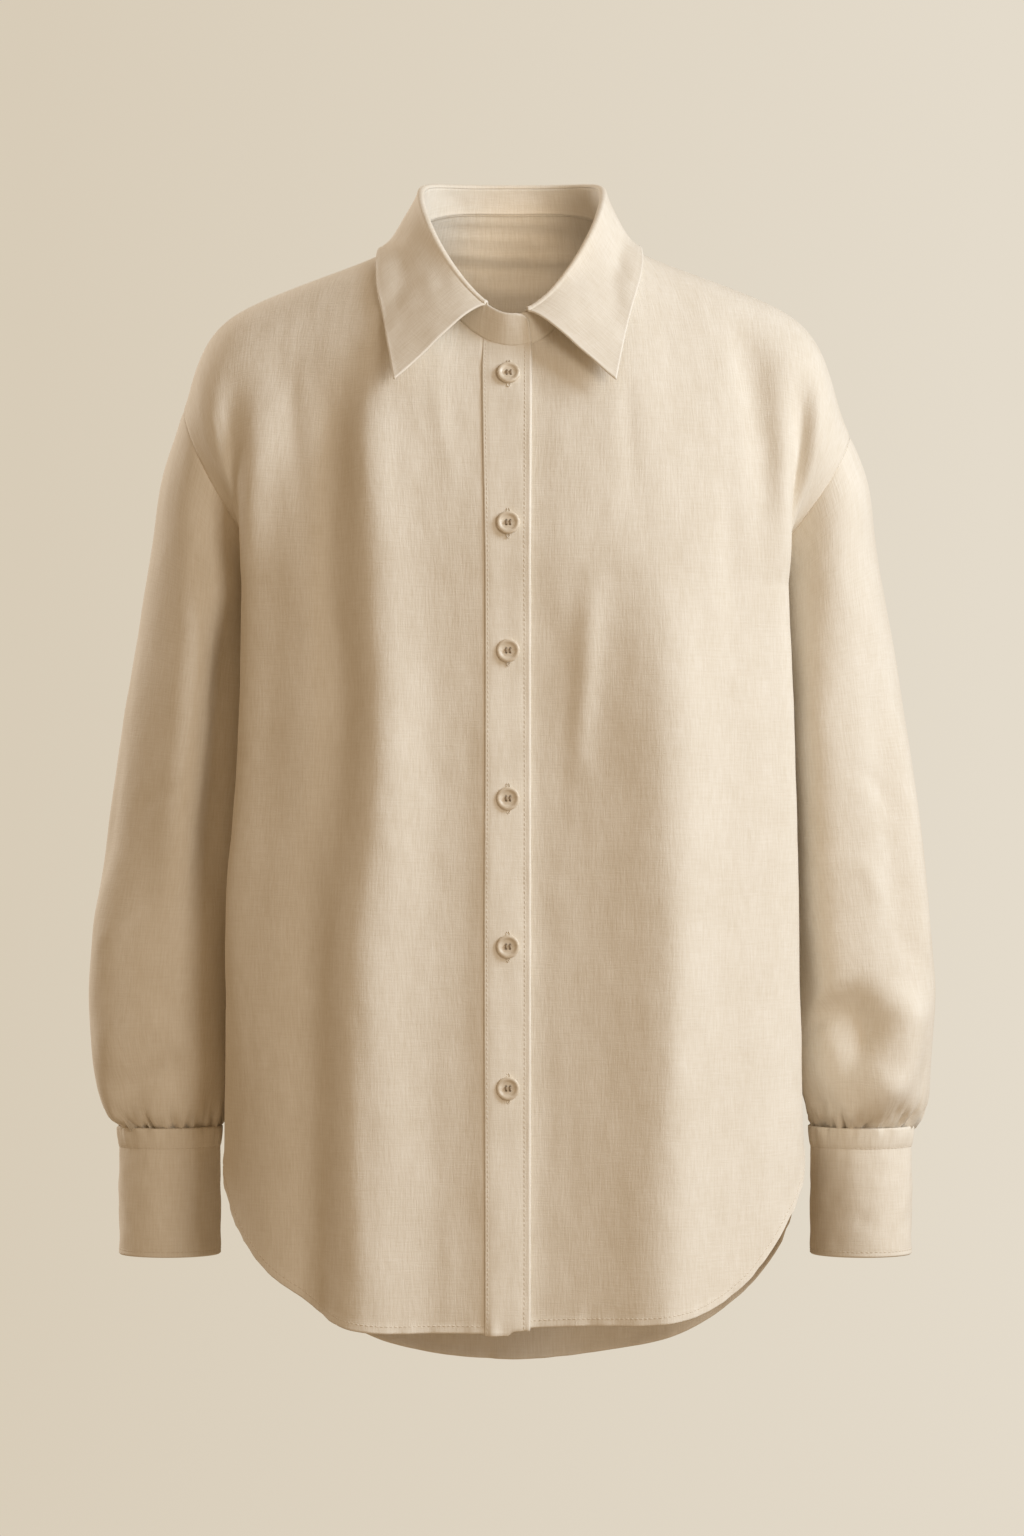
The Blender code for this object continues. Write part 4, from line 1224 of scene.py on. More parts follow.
@dataclass
class Stitching:
    """Lines of lockstitch, joined into one mesh."""

    name: str
    length: float = 0.0026
    gap: float = 0.0007
    radius: float = 0.00022
    sides: int = 5
    flatness: float = 1.25
    start: float = 0.0004
    profile: tuple = (
        # share of the length, size, lift in radii
        (0.0, 0.45, -0.6), (0.22, 1.0, 0.35), (0.78, 1.0, 0.35), (1.0, 0.45, -0.6),
    )
    lines: list = field(default_factory=list)

    def add(self, path: Array, facing: Array) -> None:
        """Adds a line.

        Args:
            path: Points along the line, on the cloth's surface.
            facing: The way out of the cloth at each.
        """
        self.lines.append((np.asarray(path), np.asarray(facing)))

    def add_upright(self, laid: Laid, half_wall: Array, place: float, rows: Array) -> None:
        """Adds a line up some rows of a cloth, at a place across it."""
        column = np.interp(place, laid.across[0], np.arange(laid.points.shape[1]))
        self.add(*surface_line(laid, half_wall, rows, column))

    def build(self, finish: Material) -> Object:
        """Makes every stitch.

        Args:
            finish: The thread's material.

        Returns:
            The object.
        """
        turn = 2 * math.pi * np.arange(self.sides) / self.sides
        points: list = []
        faces: list = []
        for path, facing in self.lines:
            distance = along(path)
            step = self.length + self.gap
            for start in np.arange(self.start, distance[-1] - self.length, step):
                first, last = (read_at(place, distance, path)
                               for place in (start, start + self.length))
                up = unit(read_at(start + self.length / 2, distance, facing))
                aside = unit(np.cross(unit(last - first), up))
                base = len(points)
                for share, size, lift in self.profile:
                    centre = first + (last - first) * share + up * lift * self.radius
                    ring = (aside[None] * np.cos(turn)[:, None] * self.flatness
                            + up[None] * np.sin(turn)[:, None]) * self.radius * size
                    points.extend((centre + ring).tolist())
                faces.extend(self._tube(base, len(self.profile)))
        mesh = bpy.data.meshes.new(self.name)
        mesh.from_pydata(points, [], faces)
        dress(mesh, finish)
        return add_object(self.name, mesh)

    def _tube(self, base: int, rings: int) -> list:
        """Faces of one stitch, with its two ends closed.

        Args:
            base: Number of its first point.
            rings: How many rings it has.

        Returns:
            The points' numbers for each face.
        """
        n = self.sides
        faces = []
        for r in range(rings - 1):
            for k in range(n):
                a, b = base + r * n + k, base + r * n + (k + 1) % n
                faces.append((b, a, a + n, b + n))
        faces.append(tuple(base + k for k in range(n)))
        faces.append(tuple(base + (rings - 1) * n + k for k in range(n - 1, -1, -1)))
        return faces


def read_at(place: float, distance: Array, rows: Array) -> Array:
    """A table's row at a distance along it, between the rows that it holds."""
    return np.array([np.interp(place, distance, column) for column in rows.T])


def surface_line(laid: Laid, half_wall: Array, row_at: Array, column_at: Array,
                 lift: float = 0.00004) -> tuple[Array, Array]:
    """A line on a cloth's outer surface, between its rows and columns.

    Args:
        laid: The cloth.
        half_wall: Half its thickness.
        row_at: Row of each point, as a number with a fraction, or of all of them.
        column_at: Column of each point, or of all of them.
        lift: Height over the surface.

    Returns:
        The points and the way out at each.
    """
    row, column = np.broadcast_arrays(*(
        np.clip(place, 0.0, count - 1.001)
        for place, count in zip((row_at, column_at), laid.points.shape)
    ))
    i, j = row.astype(int), column.astype(int)
    u, v = (row - i)[:, None], (column - j)[:, None]
    facing = laid.outward()
    outer = laid.points + facing * (half_wall[..., None] + lift)

    def read(grid: Array) -> Array:
        """The grid between its four nearest points."""
        low, high = (grid[k, j] * (1 - v) + grid[k, j + 1] * v for k in (i, i + 1))
        return low * (1 - u) + high * u

    return read(outer), unit(read(facing))


@dataclass
class BodyPieces:
    """The right front, left front, placket and back."""

    form: BodyForm
    wall: float = 0.0011
    folded_wall: float = 0.0017
    column_step: float = 0.0030
    placket_seam: float = -0.0182
    placket_edge: float = 0.0115
    layer_step: float = 0.0013
    hem_width: float = 0.0052
    hem_stitch: float = 0.0044
    edge_stitch: float = 0.0034
    seam_stitch: float = 0.0016
    sewn_reach: float = 0.012
    hem_reach: float = 0.008
    foot_drop: float = 0.0015
    stand_start: float = 0.0012
    front_seed: int = 11
    back_seed: int = 23
    front_folds: tuple = (
        # across_top, up_top, across_low, up_low, bow, width, depth, fade_top, fade_low
        (-0.130, -0.075, -0.116, -0.480, 0.000, 0.021, -0.0085, 0.15, 0.45),
        (-0.134, -0.300, -0.146, -0.800, 0.000, 0.024, -0.0090, 0.45, 0.02),
        (-0.104, -0.085, -0.082, -0.520, 0.000, 0.024, 0.0100, 0.15, 0.45),
        (-0.098, -0.300, -0.110, -0.800, 0.000, 0.026, 0.0110, 0.45, 0.02),
        (-0.049, -0.200, -0.050, -0.800, 0.000, 0.024, -0.0055, 0.30, 0.02),
        (-0.031, -0.215, -0.030, -0.800, 0.000, 0.010, -0.0014, 0.30, 0.02),
        (-0.192, -0.080, -0.205, -0.640, 0.000, 0.018, 0.0085, 0.15, 0.40),
        (-0.216, -0.075, -0.226, -0.235, 0.000, 0.013, 0.0048, 0.30, 0.50),
        (0.020, -0.180, 0.024, -0.800, 0.000, 0.040, -0.0095, 0.25, 0.02),
        (0.056, -0.215, 0.040, -0.400, 0.000, 0.009, 0.0032, 0.30, 0.50),
        (0.106, -0.180, 0.104, -0.800, 0.000, 0.029, 0.0135, 0.25, 0.02),
        (0.176, -0.045, 0.186, -0.215, 0.003, 0.013, -0.0055, 0.35, 0.45),
        (0.196, -0.105, 0.212, -0.560, 0.000, 0.018, 0.0050, 0.25, 0.45),
    )
    back_folds: tuple = (
        (-0.120, -0.110, -0.118, -0.820, 0.012, 0.028, -0.0080, 0.35, 0.02),
        (-0.066, -0.140, -0.072, -0.820, -0.006, 0.026, 0.0075, 0.35, 0.02),
        (-0.008, -0.190, 0.004, -0.820, 0.006, 0.024, -0.0060, 0.35, 0.02),
        (0.062, -0.120, 0.058, -0.820, 0.008, 0.027, 0.0070, 0.35, 0.02),
        (0.116, -0.150, 0.122, -0.820, -0.008, 0.026, -0.0080, 0.35, 0.02),
        (-0.172, -0.120, -0.176, -0.820, 0.000, 0.024, 0.0055, 0.35, 0.10),
        (0.172, -0.110, 0.174, -0.820, 0.000, 0.024, 0.0055, 0.35, 0.10),
    )
    arm_valley: tuple = (
        (0.216, -0.075, 0.226, -0.235, 0.000, 0.013, -0.0080, 0.30, 0.50),
    )
    front_creases: tuple = (
        (-0.182, -0.070, -0.150, -0.235, 0.006, 0.008, -0.0016, 0.40, 0.50),
        (-0.120, -0.150, -0.112, -0.330, -0.004, 0.007, 0.0010, 0.40, 0.50),
        (-0.052, -0.085, -0.040, -0.190, 0.003, 0.006, 0.0009, 0.40, 0.50),
        (-0.232, -0.250, -0.214, -0.420, 0.004, 0.008, -0.0016, 0.35, 0.50),
        (-0.105, -0.480, -0.098, -0.700, 0.004, 0.008, -0.0011, 0.35, 0.40),
        (0.072, -0.085, 0.090, -0.205, -0.003, 0.008, -0.0012, 0.40, 0.50),
        (0.152, -0.140, 0.146, -0.330, 0.004, 0.008, -0.0013, 0.40, 0.50),
        (0.040, -0.270, 0.030, -0.430, 0.002, 0.006, -0.0010, 0.40, 0.50),
        (0.104, -0.400, 0.098, -0.640, 0.005, 0.009, 0.0012, 0.35, 0.45),
        (0.232, -0.250, 0.220, -0.430, -0.004, 0.008, -0.0014, 0.35, 0.50),
    )
    back_creases: tuple = (
        (-0.058, 0.018, 0.054, 0.010, 0.004, 0.0026, 0.0015, 0.30, 0.35),
        (-0.050, 0.004, 0.060, 0.001, -0.004, 0.0032, -0.0021, 0.30, 0.30),
        (-0.064, -0.006, 0.046, -0.012, 0.003, 0.0030, 0.0018, 0.25, 0.40),
        (-0.040, -0.020, 0.066, -0.022, -0.003, 0.0036, -0.0020, 0.35, 0.30),
        (-0.150, -0.110, -0.178, -0.240, 0.006, 0.009, -0.0016, 0.40, 0.50),
        (0.146, -0.100, 0.180, -0.250, -0.006, 0.009, -0.0016, 0.40, 0.50),
        (-0.090, -0.330, -0.096, -0.560, 0.004, 0.009, 0.0012, 0.40, 0.45),
        (0.030, -0.420, 0.026, -0.650, -0.004, 0.009, -0.0012, 0.40, 0.45),
        (0.096, -0.300, 0.104, -0.520, 0.004, 0.008, 0.0011, 0.40, 0.45),
    )

    def __post_init__(self) -> None:
        """Lays every piece, so that the collar and sleeves can join them."""
        self.front_right = self._front(Side.RIGHT)
        self.front_left = self._front(Side.LEFT)
        self.placket = self._placket()
        self.back = self._back()

    def _columns(self, start: float, face: Face, close: tuple = EDGE_STEPS) -> Array:
        """Places from the middle out to the side seam, with the neck corner among them.

        Args:
            start: The first place.
            face: Front or back.
            close: Steps from the first place, close together.

        Returns:
            The places, in order.
        """
        arc = self.form.arc(face)
        corner = self.form.neck_share * arc
        inner = start + spaced(corner - start, self.column_step, close)
        outer = corner + spaced(arc - corner, self.column_step, (), EDGE_STEPS)
        return np.concatenate([inner, outer[1:]])

    def _folded(self, across: Array, face: Face) -> Laid:
        """Cloth on a face of the body with its folds, creases and small waves.

        Args:
            across: Places from the middle, negative to the wearer's right.
            face: Front or back.

        Returns:
            The cloth.
        """
        laid = self.form.lay(across, face)
        front = face is Face.FRONT
        folds = folds_of(self.front_folds if front else self.back_folds)
        creases = folds_of(self.front_creases if front else self.back_creases)
        seed = self.front_seed if front else self.back_seed
        height = laid.points[..., 2]
        large = raised_by(folds, laid.across, height)
        large += raised_by(folds_of(self.arm_valley), np.abs(laid.across), height)
        near = ease(laid.seam / self.sewn_reach)
        small = raised_by(creases, laid.across, height)
        small += Crumple(seed).height(laid.across, laid.up)
        hem_waves = Crumple(seed + 7, depth=0.0003, shortest=0.007, longest=0.020, waves=16)
        near_hem = np.exp(-np.abs(laid.hem) / self.hem_reach)
        small += hem_waves.height(laid.across, laid.up) * near_hem
        pressed = self._pressed_neck(laid, face)
        puff = seam_puff(laid.seam) * (1 - pressed)
        laid.raise_by(large * self.form.fade(laid, face) + small * near + puff)
        return laid

    def _pressed_neck(self, laid: Laid, face: Face) -> Array:
        """1 where the stand's front is pressed flat onto the panel below it, 0 elsewhere.

        Args:
            laid: The panel.
            face: Front or back.

        Returns:
            The share at each point.
        """
        if face is Face.BACK:
            return np.zeros(laid.across.shape)
        neck = self.form.neck_share * self.form.arc(face)
        beside = 1 - ease((np.abs(laid.across) / neck - 0.55) / 0.25)
        return beside * ease((self.form.climbed - 0.80) / 0.10)

    def _front(self, side: Side) -> Laid:
        """A front, from its edge near the middle to its side seam.

        Args:
            side: The wearer's side.

        Returns:
            The cloth, with the left front a layer in where it runs under the placket.
        """
        if side is Side.RIGHT:
            columns = self._columns(-self.placket_seam, Face.FRONT)
            laid = self._folded(np.sort(-columns), Face.FRONT)
            laid.raise_by(seam_puff(self.placket_seam - laid.across, 0.0004))
            return laid
        columns = self._columns(self.placket_seam + self.stand_start, Face.FRONT)
        laid = self._folded(columns, Face.FRONT)
        under = 1 - ease((laid.across - self.placket_edge - 0.002) / 0.022)
        laid.raise_by(-self.layer_step * under)
        return laid

    def _placket(self) -> Laid:
        """The button strip, a step out from the fronts, which meets the right front at its top.

        Returns:
            The cloth.
        """
        width = self.placket_edge - self.placket_seam
        across = self.placket_seam + spaced(width, 0.0025, EDGE_STEPS, EDGE_STEPS)
        laid = self._folded(across, Face.FRONT)
        from_left = (laid.across - self.placket_seam) / width
        from_top = self.form.climb[-1] - self.form.climbed
        merge = (1 - ease((from_top - 0.05) / 0.14)) * (1 - ease(from_left / 0.5))
        ripple = Crumple(31, depth=0.00022, shortest=0.02, longest=0.09, waves=12, upright=0.6)
        wave = ripple.height(laid.across, laid.up) * ease(from_left)
        laid.raise_by(self.layer_step * (1 - 0.85 * merge) + wave)
        laid.points[0, :, 2] -= self.foot_drop
        return laid

    def _back(self) -> Laid:
        """The back in one piece from side seam to side seam."""
        out = self._columns(0.0, Face.BACK, ())
        return self._folded(np.concatenate([-out[:0:-1], out]), Face.BACK)

    def _walls(self, laid: Laid) -> Array:
        """Half the thickness: double in the hem, with a dip along its stitches.

        Args:
            laid: A front or the back.

        Returns:
            Half the thickness at each point.
        """
        double = 1 - ease((laid.hem - self.hem_width) / 0.0007)
        dip = groove(laid.hem - self.hem_stitch)
        return self.wall / 2 * (1 + 0.75 * double - 0.45 * dip)

    def _hem_line(self, laid: Laid, walls: Array) -> tuple[Array, Array]:
        """The line of the hem's stitches.

        Args:
            laid: A front or the back.
            walls: Half its thickness.

        Returns:
            The points and the way out at each.
        """
        columns = np.arange(laid.points.shape[1])
        rows = [np.interp(self.hem_stitch, laid.hem[: len(self.form.rise), k],
                          np.arange(len(self.form.rise))) for k in columns]
        return surface_line(laid, walls, np.array(rows), columns)

    def build(self, wardrobe: Wardrobe) -> None:
        """Makes the four pieces and their stitches.

        Args:
            wardrobe: The finishes.
        """
        low, first = Edge.LOW, Edge.FIRST
        self._build_panel("front_right", self.front_right, wardrobe, (low,))
        self._build_panel("front_left", self.front_left, wardrobe, (low, first))
        self._build_panel("back", self.back, wardrobe, (low,))
        self._build_placket(wardrobe)

    def _build_panel(self, name: str, laid: Laid, wardrobe: Wardrobe, free: tuple) -> None:
        """Makes a front or back with the stitches of its hem.

        Args:
            name: Its node.
            laid: Its cloth.
            wardrobe: The finishes.
            free: Its free edges.
        """
        walls = self._walls(laid)
        # Painted highlight along the hem, strongest at its edge
        edge = np.exp(-np.maximum(laid.hem, 0) / 0.0016) * 0.8
        shell = Shell(name + "_cloth", laid, walls, edge, free)
        piece = place_piece(shell.build(wardrobe.body), "linen", name)
        hem = Stitching(name + "_hem_stitches")
        hem.add(*self._hem_line(laid, walls))
        stitches = place_piece(hem.build(wardrobe.thread), "linen")

    def _build_placket(self, wardrobe: Wardrobe) -> None:
        """Makes the placket with a stitched, beaded free edge.

        Args:
            wardrobe: The finishes.
        """
        laid = self.placket
        from_free = self.placket_edge - laid.across
        from_seam = laid.across - self.placket_seam
        bead = 1 + 0.35 * np.exp(-((from_free / 0.0013) ** 2))
        dip = groove(from_free - self.edge_stitch) + groove(from_seam - self.seam_stitch)
        walls = self.folded_wall / 2 * (bead - 0.25 * dip)
        # Painted highlight along the placket's free edge
        edge = np.exp(-from_free / 0.0012) * 0.7
        shell = Shell("placket_cloth", laid, walls, edge, (Edge.LOW, Edge.FIRST, Edge.LAST))
        piece = place_piece(shell.build(wardrobe.pressed), "linen", "placket")
        stitching = Stitching("placket_stitches")
        for place in (self.placket_edge - self.edge_stitch, self.placket_seam + self.seam_stitch):
            stitching.add_upright(laid, walls, place, np.arange(len(walls)))
        stitches = place_piece(stitching.build(wardrobe.thread), "linen")


@dataclass
class Sleeve:
    """A sleeve from the dropped armhole down to the gathers in its cuff."""

    form: BodyForm
    side: Side
    wall: float = 0.0011
    row_step: float = 0.0036
    seed: int = 41
    rings: tuple = (
        # outer_out, outer_up, inner_out, inner_up, middle_back, half_depth, bow, lift
        (0.2440, -0.158, 0.1715, -0.2335, 0.014, 0.066, 0.004, 0.85),
        (0.2500, -0.195, 0.1765, -0.2430, 0.015, 0.069, 0.002, 0.95),
        (0.2585, -0.246, 0.1785, -0.2720, 0.017, 0.070, 0.0, 1.0),
        (0.2680, -0.302, 0.1790, -0.3140, 0.019, 0.069, 0.0, 1.0),
        (0.2810, -0.386, 0.1830, -0.3880, 0.023, 0.066, 0.0, 1.0),
        (0.2905, -0.470, 0.1910, -0.4700, 0.027, 0.062, 0.0, 1.0),
        (0.2940, -0.532, 0.1965, -0.5320, 0.029, 0.058, 0.0, 1.0),
        (0.2905, -0.582, 0.1990, -0.5820, 0.030, 0.051, 0.0, 1.0),
        (0.2850, -0.604, 0.2040, -0.6040, 0.030, 0.041, 0.0, 1.0),
        (0.2765, -0.6145, 0.2085, -0.6145, 0.030, 0.0320, 0.0, 1.0),
        (0.2705, -0.6190, 0.2115, -0.6190, 0.030, 0.0285, 0.0, 1.0),
    )
    set_out: dict = field(default_factory=lambda: {Side.RIGHT: 0.0, Side.LEFT: 0.0035})
    cuff_set_out: dict = field(default_factory=lambda: {Side.RIGHT: 0.0, Side.LEFT: 0.0048})
    gathers: int = 9
    gather_depth: float = 0.0016
    gather_length: float = 0.055
    folds: dict = field(default_factory=lambda: {
        # turn_top, along_top, turn_low, along_low, bow, width, depth, fade_top, fade_low
        Side.RIGHT: (
            (0.245, 0.050, 0.265, 0.340, 0.000, 0.016, 0.0070, 0.30, 0.40),
            (0.360, 0.040, 0.350, 0.330, 0.000, 0.020, -0.0130, 0.30, 0.35),
            (0.118, 0.240, 0.130, 0.480, 0.000, 0.028, 0.0105, 0.30, 0.35),
            (0.300, 0.370, 0.110, 0.400, 0.012, 0.015, 0.0045, 0.30, 0.35),
            (0.340, 0.395, 0.130, 0.425, 0.000, 0.012, -0.0060, 0.30, 0.30),
            (0.330, 0.425, 0.150, 0.455, -0.008, 0.013, 0.0040, 0.30, 0.30),
            (-0.380, 0.080, -0.360, 0.350, 0.000, 0.018, -0.0050, 0.40, 0.40),
            (-0.280, 0.090, -0.240, 0.400, 0.000, 0.018, 0.0045, 0.40, 0.40),
            (-0.100, 0.390, -0.300, 0.430, 0.010, 0.014, -0.0050, 0.30, 0.30),
        ),
        Side.LEFT: (
            (0.290, 0.060, 0.350, 0.420, 0.000, 0.018, 0.0100, 0.30, 0.30),
            (0.150, 0.080, 0.170, 0.380, 0.000, 0.018, -0.0055, 0.30, 0.40),
            (0.085, 0.120, 0.090, 0.400, 0.000, 0.014, 0.0035, 0.35, 0.40),
            (0.372, 0.347, 0.246, 0.395, 0.010, 0.019, -0.0130, 0.22, 0.30),
            (0.160, 0.330, 0.200, 0.430, 0.006, 0.018, 0.0080, 0.30, 0.35),
            (0.330, 0.445, 0.150, 0.400, 0.008, 0.014, 0.0070, 0.30, 0.30),
            (-0.360, 0.060, -0.380, 0.330, 0.000, 0.018, -0.0050, 0.40, 0.40),
            (-0.240, 0.100, -0.260, 0.400, 0.000, 0.018, 0.0045, 0.40, 0.40),
            (-0.120, 0.380, -0.320, 0.420, 0.008, 0.014, -0.0050, 0.30, 0.30),
        ),
    })
    creases: dict = field(default_factory=lambda: {
        # The last rows run down into the cuff, as pinched gathers
        Side.RIGHT: (
            (0.280, 0.200, 0.140, 0.240, 0.008, 0.008, -0.0014, 0.40, 0.45),
            (0.240, 0.290, 0.100, 0.330, 0.006, 0.008, 0.0013, 0.40, 0.45),
            (0.060, 0.150, 0.075, 0.300, 0.000, 0.008, -0.0012, 0.40, 0.45),
            (0.200, 0.440, 0.215, 0.520, 0.000, 0.0050, -0.0028, 0.50, 0.04),
            (0.235, 0.455, 0.240, 0.520, 0.000, 0.0045, 0.0024, 0.50, 0.04),
            (0.115, 0.450, 0.130, 0.520, 0.000, 0.0045, -0.0026, 0.50, 0.04),
            (0.085, 0.440, 0.100, 0.520, 0.000, 0.0050, 0.0026, 0.50, 0.04),
        ),
        Side.LEFT: (
            (0.270, 0.180, 0.120, 0.230, 0.008, 0.008, -0.0014, 0.40, 0.45),
            (0.180, 0.300, 0.060, 0.350, 0.006, 0.008, -0.0014, 0.40, 0.45),
            (0.300, 0.240, 0.180, 0.290, 0.006, 0.008, 0.0013, 0.40, 0.45),
            (0.085, 0.380, 0.100, 0.500, 0.000, 0.0055, -0.0034, 0.50, 0.04),
            (0.060, 0.400, 0.072, 0.500, 0.000, 0.0050, 0.0028, 0.50, 0.04),
            (0.135, 0.430, 0.150, 0.500, 0.000, 0.0045, -0.0026, 0.50, 0.04),
            (0.165, 0.440, 0.180, 0.500, 0.000, 0.0045, 0.0022, 0.50, 0.04),
        ),
    })

    def lay(self) -> Laid:
        """Lays the sleeve from its underarm seam round the outside and back to it.

        Returns:
            The cloth, rows from the armhole to the cuff.
        """
        table = np.array([self.form.armhole_row(self.side), *self.rings])
        out, cuff = self.set_out[self.side], self.cuff_set_out[self.side]
        table[1:, [0, 2]] += out
        table[-3:, [0, 2]] += cuff - out
        middle = (table[:, [0, 1]] + table[:, [2, 3]]) / 2
        place = along(middle)
        length = place[-1]
        down = spaced(length, self.row_step, EDGE_STEPS, EDGE_STEPS)
        sizes = spline(place, table, down)
        climb = self.form.climb
        ahead = 0.5 * (1 - climb)
        turn = np.concatenate([-ahead, ahead[-2::-1]])
        base = ring_point(sizes[:, None, :], turn[None, :])
        base[:, [0, -1]] = (base[:, [0]] + base[:, [-1]]) / 2
        facing = normals(base)
        if ((base - base.mean(axis=1, keepdims=True)) * facing).sum() < 0:
            facing = -facing
        both = unit(facing[:, 0] + facing[:, -1])
        facing[:, 0] = facing[:, -1] = both
        girth = np.linalg.norm(np.diff(base, axis=1), axis=2).sum(axis=1).mean()
        down = down[:, None]
        across = turn[None, :] * girth
        from_underarm = (0.5 - np.abs(turn[None, :])) * girth
        folds, creases = ([fold.scaled(girth) for fold in folds_of(rows[self.side])]
                          for rows in (self.folds, self.creases))
        # The large folds may run on round the arm
        large = sum(raised_by(folds, across + wrap * girth, down) for wrap in (-1.0, 0.0, 1.0))
        small = raised_by(creases, across, down) + Crumple(self.seed).height(across, down)
        ends = ease(down / 0.03) * ease((length - down) / 0.02)
        gathered = ease((down - (length - self.gather_length)) / self.gather_length)
        tucked = 1 - 0.85 * ease((down - (length - 0.020)) / 0.015)
        waves = self.gather_depth * np.cos(2 * math.pi * self.gathers * turn)[None, :]
        puckers = Crumple(self.seed + 3, depth=0.0013, shortest=0.0045, longest=0.012,
                          waves=20, upright=6.0).height(across, down)
        pucker_fade = np.exp(-(((length - 0.006 - down) / 0.011) ** 2))
        raised = large * ends + waves * gathered * tucked
        raised = raised + small * ease(down / 0.012) * ease(from_underarm / 0.010)
        raised = raised + puckers * pucker_fade + seam_puff(down) + seam_puff(from_underarm)
        points = base + facing * raised[..., None]
        flip = self.side.flip
        return Laid(points * flip, facing * flip, across, -down, down, length - down)

    def build(self, wardrobe: Wardrobe) -> None:
        """Makes the sleeve.

        Args:
            wardrobe: The finishes.
        """
        laid = self.lay()
        walls = np.full(laid.across.shape, self.wall / 2)
        name = "sleeve_" + self.side.value
        shell = Shell(name + "_cloth", laid, walls, np.zeros_like(walls), ())
        piece = place_piece(shell.build(wardrobe.body), "linen", name)
        flat = (0.44, 0.53)
        min(laid.area(), 0.98 * flat[0] * flat[1])


